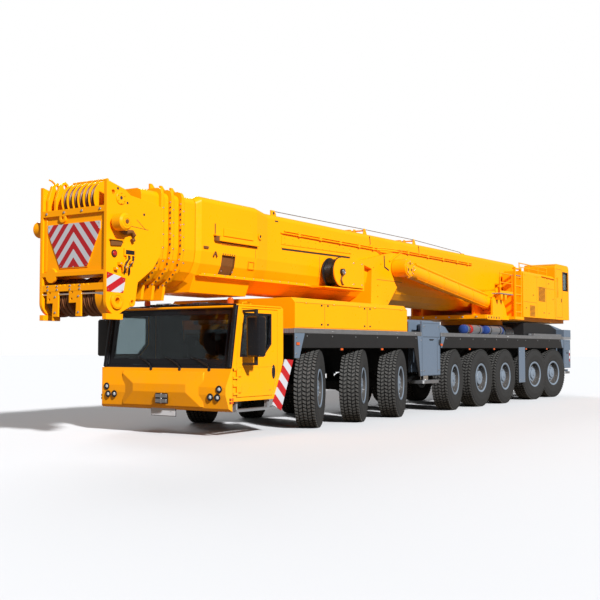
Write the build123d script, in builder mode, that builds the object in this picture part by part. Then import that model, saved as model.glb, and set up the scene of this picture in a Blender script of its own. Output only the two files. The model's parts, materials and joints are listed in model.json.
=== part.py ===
"""All-terrain mobile crane with eight axles, parked with its boom lowered over the driver's cab.

Frame: +X to the front, +Y to the crane's left, +Z up, origin on the ground under the middle.
All sizes are in millimetres.
"""

import os
from math import cos, radians, sin

from build123d import *

# Axles and wheels
axle_1_x = 5520
axle_gaps = [1700, 1680, 2920, 1700, 1700, 2420, 1700]
tyre_diameter = 1490
tyre_width = 445
tread_width = 400
rim_seat_radius = 318
rim_flange_radius = 372
rim_flange_width = 22
hub_radius = 185
track_half = 1278
kingpin_y = 1080
kingpin_radius = 55
spindle_radius = 120
steer_rest = {1: 24.0, 2: 21.5, 3: 17.0, 4: 9.0, 7: -8.0, 8: -9.5}
running_gap = 0.3
seat_gap = 0.4

# Carrier
half_width = 1500
frame_half = 480
frame_bottom = 1000
frame_wall = 40
deck_bottom = 1800
deck_thick = 80
frame_rear_x = -9900
frame_front_x = 6340
nose_beam_x = 7800
nose_beam_bottom = 430
block_x = (-1900, 1060)
block_half = 900
block_top = 2200
rear_cover_half = 1250
rear_cover_top = 2270
end_block_top = 2110
skirt_bottom = 1520
skirt_thick = 30
rear_bar_x = -10380
tow_pin_x = -10170
tow_bore_radius = 25.05
stripe_panel = [(6632, 1317), (6371, 1302), (6758, 407), (7029, 516)]

# Cab
cab_rear_x = 6670
cab_front_x = 8190
cab_roof_front_x = 8010
cab_half = 1480
cab_floor = 620
cab_roof = 2270
cab_waist = 1180
cab_wall = 60
arch_foot_x = 6930
arch_top = 1290
door_rear_x = 6860
door_foot_x = 7010
door_front_x = 8060
door_head_x = 7905
door_bottom = 690
door_top = 2190
door_knee = 1080
door_gap = 8
hinge_x = 8064
hinge_y = 1506
hinge_radius = 18
hinge_zs = (820, 1090)
mirror_place = (7870, 1750, 1715)
mirror_size = (180, 260, 620)
fascia_bottom = 450
fascia_depth = 100
fascia_bulge = 60
nose_half = 930
nose_front_half = 610
lamp_radius = 46
lamp_length = 80
lamp_places = [(1110, 695), (1265, 690), (1300, 830)]

# Outriggers
front_box_x = (40, 1060)
rear_box_x = (-9900, -9220)
box_half = 1150
box_wall = 60
beam_gap = 6
jack_y = box_half + 150
jack_radius = 95
jack_tube_radius = 140
jack_tube_bottom = 880
foot_bottom = 700
foot_thick = 70
cover_thick = 40
cover_y = jack_y + jack_tube_radius + 28

# Slewing upper
slew_x = -5300
ring_radius = 1000
ring_top = 2180
base_bottom = 2320
base_top = 2430
base_half = 1270
cheek_inner = 740
cheek_thick = 70
boom_pivot = (-6750, 3250)
boom_pin_radius = 110
cylinder_foot = (-4250, 2760)
cylinder_eye = (1060, 3390)
cylinder_y = 1000
cylinder_radius = 175
rod_radius = 125
eye_radius = 210
eye_half = 175
cylinder_pin_radius = 80
rod_start = 600
upper_rear_x = -9940
upper_front_x = -5700
upper_half = 1450
housing_top = 3780
cab_upper_front_x = -8560
cab_upper_top = 4200

# Telescopic boom, sections from the outside in
boom_top = 4110
boom_bottom = 2560
boom_half = 690
boom_corner = 110
boom_belly = 640
boom_bends = 5
boom_rear_x = -7050
boom_front_x = 8200
boom_wall = 25
section_step = 48
section_rear_step = 400
section_rings = [(8215, 8630), (8645, 8890), (8905, 9140)]
flange_length = 60
flange_taper = 70
ring_grow = 55
ring_foot = 2330
collar_rear_x = 6060
collar_taper = 410
collar_front_taper = 100
belly_box_x = (6480, 8120)
belly_box_bottom = 2490
head_front_x = 10380
head_half = boom_half + ring_grow
head_plate = 60
reel_x = 3850
reel_z = 3110
reel_radius = 310
reel_end_y = 1000

deck_top = deck_bottom + deck_thick
tyre_radius = tyre_diameter / 2
hub_z = tyre_radius
axle_x = [axle_1_x - sum(axle_gaps[:i]) for i in range(len(axle_gaps) + 1)]
sides = {"left": 1, "right": -1}

os.makedirs("parts", exist_ok=True)


def save(shape, name):
    """Writes one node to its own STEP file."""
    shape.label = name
    export_step(shape, f"parts/{name}.step")


def on_side(part, side):
    """The left-hand part, or its mirror image for the right."""
    return part if side > 0 else mirror(part, about=Plane.XZ, mode=Mode.PRIVATE)


def side_plate(points, y_low, thickness):
    """A plate cut to an outline in X and Z, from y_low towards +Y."""
    with BuildPart() as plate:
        with BuildSketch(Plane.XZ.offset(-y_low)):
            with BuildLine():
                Polyline(*points, close=True)
            make_face()
        extrude(amount=-thickness)
    return plate.part


# Wheels: a block tyre on a disc wheel with its planetary hub
def make_tyre():
    bead = tyre_width / 2 - 45
    tread = tread_width / 2
    side = tyre_width / 2
    bore = rim_seat_radius + seat_gap
    with BuildPart() as tyre:
        with BuildSketch(Plane.XY) as section:
            with BuildLine():
                l1 = Line((bore, -bead), (rim_flange_radius + 20, -bead))
                l2 = ThreePointArc(l1 @ 1, (tyre_radius - 190, -side), (tyre_radius - 45, -tread - 8))
                l3 = Line(l2 @ 1, (tyre_radius, -tread + 15))
                l4 = Line(l3 @ 1, (tyre_radius, tread - 15))
                l5 = Line(l4 @ 1, (tyre_radius - 45, tread + 8))
                l6 = ThreePointArc(l5 @ 1, (tyre_radius - 190, side), (rim_flange_radius + 20, bead))
                l7 = Line(l6 @ 1, (bore, bead))
                Line(l7 @ 1, l1 @ 0)
            make_face()
        revolve(axis=Axis.Y)
    return tyre.part


def make_rim():
    flange_in = tyre_width / 2 - 45 + seat_gap
    flange_out = flange_in + rim_flange_width
    well = rim_seat_radius - 24
    with BuildPart() as rim:
        with BuildSketch(Plane.XY):
            with BuildLine():
                Polyline(
                    (well, -flange_out), (rim_flange_radius, -flange_out), (rim_flange_radius, -flange_in),
                    (rim_seat_radius, -flange_in), (rim_seat_radius, flange_in), (rim_flange_radius, flange_in),
                    (rim_flange_radius, flange_out), (well, flange_out), (well - 14, 70), (hub_radius, 70),
                    (hub_radius - 12, 150), (0, 150), (0, 110), (spindle_radius + running_gap, 110),
                    (spindle_radius + running_gap, 20), (hub_radius + 20, 20), (well - 14, 40), close=True,
                )
            make_face()
        revolve(axis=Axis.Y)
    return rim.part


def make_wheel():
    """Tyre and rim as two solids about the wheel's own centre, outer face towards +Y."""
    return Compound(children=[make_tyre(), make_rim()])


# Steering knuckles: a fork about the axle's kingpin boss, with the wheel's spindle
knuckle_boss = 110
fork_reach = 190


def make_knuckle():
    """Left knuckle about the kingpin's axis at hub height."""
    spindle_end = track_half - kingpin_y + 100
    with BuildPart() as knuckle:
        with Locations((0, 0, 0)):
            Cylinder(kingpin_radius, 2 * fork_reach)
        for level in (-1, 1):
            with BuildSketch(Plane.XY.offset(level * (fork_reach - 25))):
                SlotCenterToCenter(2 * 60, 150)
            extrude(amount=25, both=True)
        with BuildSketch(Plane.XZ.offset(-knuckle_boss - 20)):
            RectangleRounded(2 * 150, 2 * fork_reach, 40)
        extrude(amount=-40)
        for level in (-1, 1):
            with Locations((0, (knuckle_boss + 40) / 2, level * (fork_reach - 25))):
                Box(140, knuckle_boss + 40, 50)
        with Locations(Location((0, (knuckle_boss + spindle_end) / 2 + 20, 0), (90, 0, 0))):
            Cylinder(spindle_radius, spindle_end - knuckle_boss - 40)
    return knuckle.part


wheel = make_wheel()
knuckle = make_knuckle()
for number, x in enumerate(axle_x, start=1):
    angle = steer_rest.get(number, 0.0)
    for name, side in sides.items():
        about_kingpin = Location((x, side * kingpin_y, hub_z), (0, 0, angle))
        outward = Location((0, side * (track_half - kingpin_y), 0), (0, 0, 0 if side > 0 else 180))
        save((about_kingpin * outward) * wheel, f"wheel_{number}_{name}")
        if number in steer_rest:
            save(about_kingpin * on_side(knuckle, side), f"knuckle_{number}_{name}")


# Axle beams with their suspension struts, and the engine under the hood
def make_axle(x, steered):
    beam_end = kingpin_y if steered else track_half + 100
    with BuildPart() as axle:
        with Locations((x, 0, hub_z)):
            Box(190, 2 * (kingpin_y - 60), 170)
            Sphere(230)
        for side in (-1, 1):
            with Locations((x, side * 330, (hub_z + frame_bottom) / 2)):
                Cylinder(70, frame_bottom - hub_z)
            if steered:
                with Locations((x, side * kingpin_y, hub_z)):
                    Cylinder(knuckle_boss - 10, 2 * (fork_reach - 60))
                    Cylinder(kingpin_radius + running_gap, 2 * fork_reach, mode=Mode.SUBTRACT)
            else:
                with Locations(Location((x, side * (kingpin_y - 60 + beam_end) / 2, hub_z), (90, 0, 0))):
                    Cylinder(spindle_radius, beam_end - kingpin_y + 60)
        split(bisect_by=Plane.XY.offset(frame_bottom), keep=Keep.BOTTOM)
    return axle.part


with BuildPart() as engine:
    with Locations((axle_x[1], 0, (deck_top + 20 + 2340) / 2)):
        Box(1900, 900, 2340 - deck_top - 20)
    chamfer(engine.edges().group_by(Axis.Z)[-1], 60)

axles = [make_axle(x, i in steer_rest) for i, x in enumerate(axle_x, start=1)]
save(Compound(children=[*axles, Pos(0, 0, -20) * engine.part]), "axles_and_engine")

# Chassis: box frame, raised centre box, outrigger boxes and slewing pedestal
box_top = {"front": 2140, "rear": 1790}
box_bottom = {"front": 960, "rear": 960}
box_x = {"front": front_box_x, "rear": rear_box_x}
beam_z = {"front": (1180, 1760), "rear": (1160, 1640)}


def beam_x(end, side):
    """The X span of one outrigger beam: the left one in front, the right one behind it."""
    low, high = box_x[end]
    middle = (low + high) / 2
    return (middle + box_wall / 2, high - box_wall) if side > 0 else (low + box_wall, middle - box_wall / 2)


with BuildPart() as chassis:
    with Locations(((frame_rear_x + frame_front_x) / 2, 0, (frame_bottom + deck_bottom) / 2)):
        Box(frame_front_x - frame_rear_x, 2 * frame_half, deck_bottom - frame_bottom)
        Box(
            frame_front_x - frame_rear_x - 2 * frame_wall, 2 * (frame_half - frame_wall),
            deck_bottom - frame_bottom - 2 * frame_wall, mode=Mode.SUBTRACT,
        )
    with BuildSketch(Plane.XZ.offset(-frame_half + 60)):
        with BuildLine():
            Polyline(
                (frame_front_x - 600, frame_bottom), (frame_front_x - 600, arch_top), (frame_front_x, arch_top),
                (frame_front_x + 220, cab_floor), (nose_beam_x, cab_floor), (nose_beam_x, nose_beam_bottom),
                (frame_front_x + 200, nose_beam_bottom), close=True,
            )
        make_face()
    extrude(amount=2 * frame_half - 120)
    block = [
        (block_x[1], deck_bottom), (block_x[1], block_top), (block_x[0] + 1200, block_top),
        (block_x[0] + 400, block_top - 140), (block_x[0], deck_bottom),
    ]
    add(side_plate(block, -block_half, 2 * block_half))
    with Locations((slew_x, 0, (1600 + ring_top) / 2)):
        Cylinder(ring_radius, ring_top - 1600)
    cover_front_x = slew_x - ring_radius + 50
    rear_cover = [
        (cover_front_x, deck_top), (cover_front_x, rear_cover_top), (rear_box_x[1] + 700, rear_cover_top),
        (frame_rear_x, end_block_top), (frame_rear_x, deck_top),
    ]
    add(side_plate(rear_cover, -rear_cover_half, 2 * rear_cover_half))
    with Locations((sum(rear_box_x) / 2, 0, (deck_top + end_block_top) / 2)):
        Box(rear_box_x[1] - rear_box_x[0], 2 * half_width, end_block_top - deck_top)
    for end in ("front", "rear"):
        low, high = box_x[end]
        with Locations(((low + high) / 2, 0, (box_bottom[end] + box_top[end]) / 2)):
            Box(high - low, 2 * box_half, box_top[end] - box_bottom[end])
    for end in ("front", "rear"):
        for side in (-1, 1):
            low, high = beam_x(end, side)
            z_low, z_high = beam_z[end]
            with Locations(((low + high) / 2, 0, (z_low + z_high) / 2)):
                Box(high - low, 2 * box_half, z_high - z_low, mode=Mode.SUBTRACT)
            pad = beam_gap - running_gap
            for z in (z_low + pad / 2, z_high - pad / 2):
                with Locations(((low + high) / 2, side * (box_half - 50), z)):
                    Box(high - low, 100, pad)
    bar_arm = [
        (frame_rear_x + 30, 1060), (rear_bar_x, 830), (rear_bar_x, 700), (rear_bar_x + 90, 700),
        (frame_rear_x + 30, 970),
    ]
    for y in (-780, 700):
        add(side_plate(bar_arm, y, 80))
    with Locations((rear_bar_x + 50, 0, 760)):
        Box(100, 2 * 1250, 120)
    for z in (1180, 1380):
        with Locations((frame_rear_x - 170, 0, z)):
            Box(400, 260, 70)
    with Locations((tow_pin_x, 0, 1280)):
        Cylinder(tow_bore_radius, 600, mode=Mode.SUBTRACT)
save(chassis.part, "chassis_frame")


# Outrigger beams, each with its jack tube and end cover, and the jacks with their feet
def make_beam(end, side):
    low, high = beam_x(end, side)
    z_low, z_high = beam_z[end]
    cover_length = box_x[end][1] - box_x[end][0] - 40
    middle = (low + high) / 2
    centre = (box_x[end][0] + box_x[end][1]) / 2
    with BuildPart() as beam:
        beam_end = jack_y - jack_tube_radius / 2
        with Locations((middle, side * (beam_end - box_half) / 2, (z_low + z_high) / 2)):
            Box(high - low - 2 * beam_gap, beam_end + box_half, z_high - z_low - 2 * beam_gap)
        with Locations((centre, side * jack_y, (jack_tube_bottom + box_top[end] - 60) / 2)):
            Cylinder(jack_tube_radius, box_top[end] - 60 - jack_tube_bottom)
        with Locations((centre, side * cover_y, (jack_tube_bottom + box_top[end]) / 2)):
            Box(cover_length, cover_thick, box_top[end] - jack_tube_bottom)
        web_start = jack_y + jack_radius
        with Locations((centre, side * (web_start + cover_y) / 2, (z_low + z_high) / 2)):
            Box(jack_tube_radius, cover_y - web_start, z_high - z_low - 90)
        with Locations((centre, side * jack_y, (jack_tube_bottom + box_top[end]) / 2)):
            Cylinder(jack_radius + running_gap, box_top[end] - jack_tube_bottom, mode=Mode.SUBTRACT)
    return beam.part


def make_jack(end, side):
    centre = (box_x[end][0] + box_x[end][1]) / 2
    foot_length = box_x[end][1] - box_x[end][0] - 180
    with BuildPart() as jack:
        with Locations((centre, side * jack_y, (foot_bottom + 60 + box_top[end] - 80) / 2)):
            Cylinder(jack_radius, box_top[end] - 80 - foot_bottom - 60)
        with BuildSketch(Plane.XY.offset(foot_bottom)):
            with Locations((centre, side * jack_y)):
                RectangleRounded(foot_length, 400, 60)
        extrude(amount=foot_thick)
    return jack.part


for end in ("front", "rear"):
    for name, side in sides.items():
        save(make_beam(end, side), f"outrigger_beam_{end}_{name}")
        save(make_jack(end, side), f"outrigger_jack_{end}_{name}")


# Walkway decks over the wheels, and the steps under the cab doors
with BuildPart() as front_deck:
    with Locations(((1080 + frame_front_x) / 2, 0, deck_bottom + deck_thick / 2)):
        Box(frame_front_x - 1080, 2 * half_width, deck_thick)
with BuildPart() as rear_deck:
    with Locations(((frame_rear_x + 30) / 2, 0, deck_bottom + deck_thick / 2)):
        Box(30 - frame_rear_x, 2 * half_width, deck_thick)
    with Locations((sum(block_x) / 2, 0, deck_bottom + deck_thick / 2)):
        Box(block_x[1] - block_x[0], 2 * block_half, deck_thick, mode=Mode.SUBTRACT)
    with Locations((slew_x, 0, deck_bottom + deck_thick / 2)):
        Cylinder(ring_radius, deck_thick, mode=Mode.SUBTRACT)
with BuildPart() as cab_step:
    with Locations((7500, 1400, 460)):
        Box(1100, 160, 40)
    for x in (7040, 7960):
        with Locations((x, 1380, (460 + cab_floor) / 2)):
            Box(60, 60, cab_floor - 460)
save(
    Compound(children=[front_deck.part, rear_deck.part, cab_step.part, on_side(cab_step.part, -1)]),
    "decks_and_steps",
)

# Mudguards: black bands with their end panels, and a shelf under the deck
front_band = [
    (frame_front_x, deck_bottom), (frame_front_x, 1330), (6170, 1330), (6090, skirt_bottom),
    (1460, skirt_bottom), (1190, 870), (1080, 870), (1080, deck_bottom),
]
rear_band = [
    (30, deck_bottom), (50, skirt_bottom), (-5140, skirt_bottom), (-5140, 530), (-5650, 530),
    (-5650, skirt_bottom), (-9150, skirt_bottom), (-9150, deck_bottom),
]


def make_guard(outline):
    band = side_plate(outline, half_width - skirt_thick, skirt_thick)
    xs = [x for x, z in outline if z == deck_bottom]
    with BuildPart() as guard:
        add(band)
        with Locations(((min(xs) + max(xs)) / 2, (frame_half + 40 + half_width) / 2, deck_bottom - 15)):
            Box(max(xs) - min(xs), half_width - frame_half - 40, 30)
        with Locations((slew_x, 0, deck_bottom)):
            Cylinder(ring_radius + 10, 400, mode=Mode.SUBTRACT)
    return guard.part


guards = [make_guard(front_band), make_guard(rear_band)]
guards.append(side_plate(stripe_panel, cab_half, half_width - cab_half))
save(Compound(children=guards + [on_side(g, -1) for g in guards]), "mudguards")

# Engine hood behind the cab
hood_x = (1800, 6320)
hood_top = 2460
hood_wall = 40
with BuildPart() as hood:
    with Locations((sum(hood_x) / 2, 0, (deck_top + hood_top) / 2)):
        Box(hood_x[1] - hood_x[0], 2 * half_width, hood_top - deck_top)
    chamfer(hood.edges().filter_by(Axis.X).group_by(Axis.Z)[-1], 90)
    with Locations((sum(hood_x) / 2, 0, (deck_top + hood_top - hood_wall) / 2)):
        Box(
            hood_x[1] - hood_x[0] - 2 * hood_wall, 2 * (half_width - 130),
            hood_top - deck_top - hood_wall, mode=Mode.SUBTRACT,
        )
save(hood.part, "engine_hood")


# Driver's cab: hollow shell, front fascia, windscreen, seats and dashboard
def screen_x(z):
    """Outer face of the raked windscreen at height z."""
    return cab_front_x + (cab_roof_front_x - cab_front_x) * (z - cab_waist) / (cab_roof - cab_waist)


cab_outline = [
    (cab_rear_x, cab_roof), (cab_roof_front_x, cab_roof), (cab_front_x, cab_waist),
    (cab_front_x, cab_floor), (arch_foot_x, cab_floor), (cab_rear_x, arch_top),
]
cab_cavity = [
    (cab_rear_x + cab_wall, cab_roof - cab_wall), (cab_roof_front_x - cab_wall, cab_roof - cab_wall),
    (cab_front_x - cab_wall, cab_waist), (cab_front_x - cab_wall, cab_floor + cab_wall),
    (arch_foot_x + cab_wall, cab_floor + cab_wall), (cab_rear_x + cab_wall, arch_top + 20),
]
door_outline = [
    (door_foot_x, door_bottom), (door_front_x, door_bottom), (door_front_x, cab_waist), (door_head_x, door_top),
    (door_rear_x, door_top), (door_rear_x, door_knee),
]
window_outline = [
    (door_rear_x + 430, 1375), (door_front_x - 100, 1375), (door_front_x - 125, 1600),
    (door_head_x - 60, door_top - 70), (door_rear_x + 190, door_top - 70), (door_rear_x + 190, 1590),
]
screen_z = (1225, 2180)
screen_half = 1385


def grown(outline, amount):
    """An outline offset outwards by amount, in X and Z."""
    with BuildSketch(Plane.XZ) as sketch:
        with BuildLine():
            Polyline(*outline, close=True)
        make_face()
        offset(amount=amount, kind=Kind.INTERSECTION)
    return sketch.sketch


with BuildPart() as cab:
    add(side_plate(cab_outline, -cab_half, 2 * cab_half))
    chamfer(cab.edges().filter_by(Axis.X).group_by(Axis.Z)[-1], 50)
    add(side_plate(cab_cavity, -cab_half + cab_wall, 2 * (cab_half - cab_wall)), mode=Mode.SUBTRACT)
    low, high = screen_z
    screen_cut = [
        (screen_x(low) - 150, low), (screen_x(low) + 50, low), (screen_x(high) + 50, high),
        (screen_x(high) - 150, high),
    ]
    add(side_plate(screen_cut, -screen_half, 2 * screen_half), mode=Mode.SUBTRACT)
    extrude(grown(door_outline, door_gap), amount=2 * cab_half, both=True, mode=Mode.SUBTRACT)
    with Locations((cab_rear_x, 0, 1800)):
        Box(300, 1700, 500, mode=Mode.SUBTRACT)
    for side in (-1, 1):
        for z in hinge_zs:
            for level in (z - 70 - running_gap, z + 70 + running_gap):
                with Locations((hinge_x, side * hinge_y, level)):
                    Cylinder(hinge_radius, 40)
                with Locations((hinge_x + 50, side * (cab_half + 8), level)):
                    Box(100, 36, 40)
save(cab.part, "cab_shell")

low, high = screen_z[0] + seat_gap, screen_z[1] - seat_gap
screen = [
    (screen_x(low) - 34, low), (screen_x(low) - 20, low), (screen_x(high) - 20, high), (screen_x(high) - 34, high),
]
with BuildPart() as rear_pane:
    with Locations((cab_rear_x + cab_wall / 2, 0, 1800)):
        Box(12, 1700 - 2 * seat_gap, 500 - 2 * seat_gap)
glass = side_plate(screen, -screen_half + seat_gap, 2 * (screen_half - seat_gap))

lamp_x = cab_front_x + fascia_depth - lamp_length / 2 + 10
with BuildPart() as nose:
    nose_front_x = cab_front_x + fascia_depth + fascia_bulge
    nose_side = [
        (cab_front_x, 1120), (cab_front_x + 60, 1110), (nose_front_x, 900), (nose_front_x, 760),
        (cab_front_x + 90, 520), (cab_front_x, 510),
    ]
    add(side_plate(nose_side, -nose_half, 2 * nose_half))
    with BuildSketch(Plane.XY):
        with BuildLine():
            Polyline(
                (cab_front_x, -nose_half), (cab_front_x + 80, -nose_half), (nose_front_x, -nose_front_half),
                (nose_front_x, nose_front_half), (cab_front_x + 80, nose_half), (cab_front_x, nose_half), close=True,
            )
        make_face()
    extrude(amount=cab_roof, mode=Mode.INTERSECT)
with BuildPart() as fascia:
    front = [
        (cab_front_x, 1172), (cab_front_x + 30, 1172), (cab_front_x + fascia_depth, 860),
        (cab_front_x + fascia_depth, 730), (cab_front_x + 60, 500), (cab_front_x, fascia_bottom),
    ]
    add(side_plate(front, -half_width, 2 * half_width))
    chamfer(fascia.edges().filter_by(Axis.Z).group_by(Axis.X)[-1], 70)
    add(nose.part)
    for y, z in lamp_places:
        for side in (-1, 1):
            with Locations(Location((lamp_x, side * y, z), (0, 90, 0))):
                Cylinder(lamp_radius + seat_gap, lamp_length + 2 * seat_gap, mode=Mode.SUBTRACT)
save(fascia.part, "cab_front_panel")

with BuildPart() as seat:
    with Locations((7250, 0, 1000)):
        Box(480, 520, 120)
    with Locations((7020, 0, 1330)):
        Box(110, 480, 640)
    with Locations((7020, 0, 1725)):
        Box(90, 300, 150)
    with Locations((7250, 0, 810)):
        Box(300, 300, 260)
with BuildPart() as dash:
    with Locations((7960, 0, 1090)):
        Box(300, 2 * (cab_half - cab_wall - 20), 220)
    with Locations((7960, 0, (cab_floor + cab_wall + 980) / 2)):
        Box(200, 500, 980 - cab_floor - cab_wall)
    with Locations(Location((7740, 760, 1250), (0, -35, 0))):
        Torus(215, 16)
        Box(430, 40, 20)
        with Locations((0, 0, -90)):
            Cylinder(30, 190)
seats = [Pos(0, y, 0) * seat.part for y in (-760, 0, 760)]
save(Compound(children=seats + [dash.part]), "cab_interior")

with BuildPart() as front_lamp:
    with Locations(Location((lamp_x, 0, 0), (0, 90, 0))):
        Cylinder(lamp_radius, lamp_length)
with BuildPart() as tail_lamp:
    with Locations((frame_rear_x - 30, 960, 1060)):
        Box(60, 320, 130)
front_lamps = [Pos(0, side * y, z) * front_lamp.part for y, z in lamp_places for side in (-1, 1)]
tail_lamps = [on_side(tail_lamp.part, side) for side in (1, -1)]
save(Compound(children=[glass, rear_pane.part, *front_lamps, *tail_lamps]), "glass_and_lamps")


# Cab doors, each with its window cut and its mirror
def make_door():
    with BuildPart() as door:
        add(side_plate(door_outline, cab_half - cab_wall, cab_wall))
        add(side_plate(window_outline, cab_half - 2 * cab_wall, 3 * cab_wall), mode=Mode.SUBTRACT)
        with Locations(mirror_place):
            Box(*mirror_size)
        fillet(door.edges().filter_by(Axis.Z).filter_by(lambda e: e.center().Y > cab_half + 20), 50)
        for z in hinge_zs:
            with Locations((hinge_x, hinge_y, z)):
                Cylinder(hinge_radius, 100)
            with Locations((hinge_x - 60, cab_half + 8, z)):
                Box(120, 36, 100)
        mirror_x, mirror_y, mirror_z = mirror_place
        for z in (window_outline[0][1] - 125, door_top - 40):
            arm_start = cab_half - cab_wall / 2
            with Locations((mirror_x, (arm_start + mirror_y) / 2, z)):
                Box(60, mirror_y - arm_start + 20, 40)
            with Locations((mirror_x, mirror_y, (z + mirror_z) / 2)):
                Box(60, 40, abs(z - mirror_z) + 40)
    return door.part


for name, side in sides.items():
    save(on_side(make_door(), side), f"cab_door_{name}")

# Slewing upper: turntable, cheeks for the boom foot, cylinder lugs and pins
with BuildPart() as turntable:
    with Locations((slew_x, 0, (ring_top + running_gap + base_bottom) / 2)):
        Cylinder(900, base_bottom - ring_top - running_gap)
    with Locations(((frame_rear_x - 3300) / 2, 0, (base_bottom + base_top) / 2)):
        Box(-3300 - frame_rear_x, 2 * base_half, base_top - base_bottom)
    cheek = [
        (-3600, base_bottom + 20), (-3600, 2750), (-4150, 3080), (-5300, 3250), (-6250, 3720), (-7050, 3720),
        (-7500, 3450), (-8350, 3450), (-8520, 3000), (-8520, base_bottom + 20),
    ]
    lug_y = cylinder_y + eye_half + 20
    lug_thick = 60
    lug = [
        (-3850, base_bottom + 20), (-3850, 2850), (-4080, 3010), (-4420, 3010), (-4800, 2650),
        (-4950, base_bottom + 20),
    ]
    for side in (-1, 1):
        add(on_side(side_plate(cheek, cheek_inner, cheek_thick), side))
        add(on_side(side_plate(lug, lug_y, lug_thick), side))
        with Locations((-5350, side * (base_half + 90), base_top - 50)):
            Box(700, 220, 80)
    foot_x, foot_z = cylinder_foot
    pivot_x, pivot_z = boom_pivot
    with Locations(Location((pivot_x, 0, pivot_z), (90, 0, 0))):
        Cylinder(boom_pin_radius, 2 * (cheek_inner + cheek_thick) + 10)
    for side in (-1, 1):
        with Locations(Location((foot_x, side * (cheek_inner + lug_y + lug_thick) / 2, foot_z), (90, 0, 0))):
            Cylinder(cylinder_pin_radius, lug_y + lug_thick - cheek_inner)
save(turntable.part, "turntable_frame")

# Machinery housings on both sides with the access ladder, and the hoist winch between the cheeks
ladder_x = (-5570, -5110)
housing_inner = cheek_inner + cheek_thick + 10
with BuildPart() as housing_left:
    with Locations(((upper_front_x - 8520) / 2, (housing_inner + upper_half) / 2, (base_top + housing_top) / 2)):
        Box(upper_front_x + 8520, upper_half - housing_inner, housing_top - base_top)
    chamfer(housing_left.edges().filter_by(Axis.X).group_by(Axis.Z)[-1], 70)
with BuildPart() as housing_right:
    middle_y = -(housing_inner + upper_half) / 2
    with Locations(((upper_front_x + upper_rear_x) / 2, middle_y, (base_top + housing_top) / 2)):
        Box(upper_front_x - upper_rear_x, upper_half - housing_inner, housing_top - base_top)
    chamfer(housing_right.edges().filter_by(Axis.X).group_by(Axis.Z)[-1], 70)
with BuildPart() as ladder:
    for x in ladder_x:
        with Locations((x, 1420, (base_top - 10 + 3850) / 2)):
            Box(40, 60, 3850 - base_top + 10)
    for step in range(6):
        with Locations(((ladder_x[0] + ladder_x[1]) / 2, 1400, 2560 + step * 250)):
            Box(ladder_x[1] - ladder_x[0], 100, 30)
save(Compound(children=[housing_left.part, housing_right.part, ladder.part]), "upper_housings")

winch_x = -8110
winch_z = 3080
with BuildPart() as winch:
    with Locations(Location((winch_x, 0, winch_z), (90, 0, 0))):
        Cylinder(90, 2 * cheek_inner)
        Cylinder(240, 1100)
    for y in (-570, 570):
        with Locations(Location((winch_x, y, winch_z), (90, 0, 0))):
            Cylinder(330, 40)
save(winch.part, "hoist_winch")

# Crane operator's cab, stowed at the rear
cab_upper_y = (430, upper_half)
with BuildPart() as crane_cab:
    size = (cab_upper_front_x - upper_rear_x, cab_upper_y[1] - cab_upper_y[0], cab_upper_top - base_top)
    centre = (
        (cab_upper_front_x + upper_rear_x) / 2, (cab_upper_y[0] + cab_upper_y[1]) / 2, (base_top + cab_upper_top) / 2,
    )
    with Locations(centre):
        Box(*size)
    fillet(crane_cab.edges().filter_by(Axis.Y).group_by(Axis.Z)[-1], 160)
    with Locations(centre):
        Box(size[0] - 100, size[1] - 100, size[2] - 100, mode=Mode.SUBTRACT)
    front_pane = 0.57 * size[2]
    side_pane = 0.32 * size[2]
    with Locations((upper_rear_x, centre[1], cab_upper_top - 250 - front_pane / 2)):
        Box(300, size[1] - 160, front_pane, mode=Mode.SUBTRACT)
    with Locations((upper_rear_x + 380, centre[1], cab_upper_top - 240 - side_pane / 2)):
        Box(480, 2 * size[1], side_pane, mode=Mode.SUBTRACT)
with BuildPart() as crane_seat:
    with Locations((-9150, centre[1], 2900)):
        Box(460, 480, 110)
    with Locations((-8920, centre[1], 3250)):
        Box(110, 460, 600)
    with Locations((-9150, centre[1], 2665)):
        Box(300, 300, 370)
save(Compound(children=[crane_cab.part, crane_seat.part]), "crane_cab")


# Telescopic boom: bent-plate sections with a rounded belly, one inside the other
def section_face(x, shrink):
    """Boom cross-section at x, drawn in by shrink from the base section's outside."""
    half = boom_half - shrink
    radius = boom_belly - shrink
    belly_z = boom_bottom + boom_belly
    bends = [radians(90 * i / boom_bends) for i in range(boom_bends + 1)]
    belly = [(half - radius + radius * cos(a), belly_z - radius * sin(a)) for a in bends]
    left = [(half, boom_top - shrink), *belly]
    with BuildSketch(Plane.YZ.offset(x)) as face:
        with BuildLine():
            Polyline(*left, *[(-y, z) for y, z in reversed(left)], close=True)
        make_face()
        fillet(face.vertices().group_by(Axis.Y)[-1], boom_corner)
    return face.sketch


def section_solid(x_low, x_high, shrink):
    return extrude(section_face(x_low, shrink), amount=x_high - x_low, mode=Mode.PRIVATE)


def section_taper(x_low, x_high, shrink_low, shrink_high):
    """A sloping stretch between two cross-sections."""
    ends = [section_face(x_low, shrink_low), section_face(x_high, shrink_high)]
    return loft(ends, ruled=True, mode=Mode.PRIVATE)


def belly_block(x_low, x_high, half, bottom):
    """A tapered block that hangs under the boom's belly."""
    rise = boom_bottom + 240
    with BuildPart() as block:
        with BuildSketch(Plane.YZ.offset(x_low)):
            with BuildLine():
                Polyline((-half, bottom), (half, bottom), (1.25 * half, rise), (-1.25 * half, rise), close=True)
            make_face()
        extrude(amount=x_high - x_low)
    return block.part


def across(x, z):
    """A place on the middle plane, turned so that a cylinder lies along Y."""
    return Location((x, 0, z), (90, 0, 0))


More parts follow.
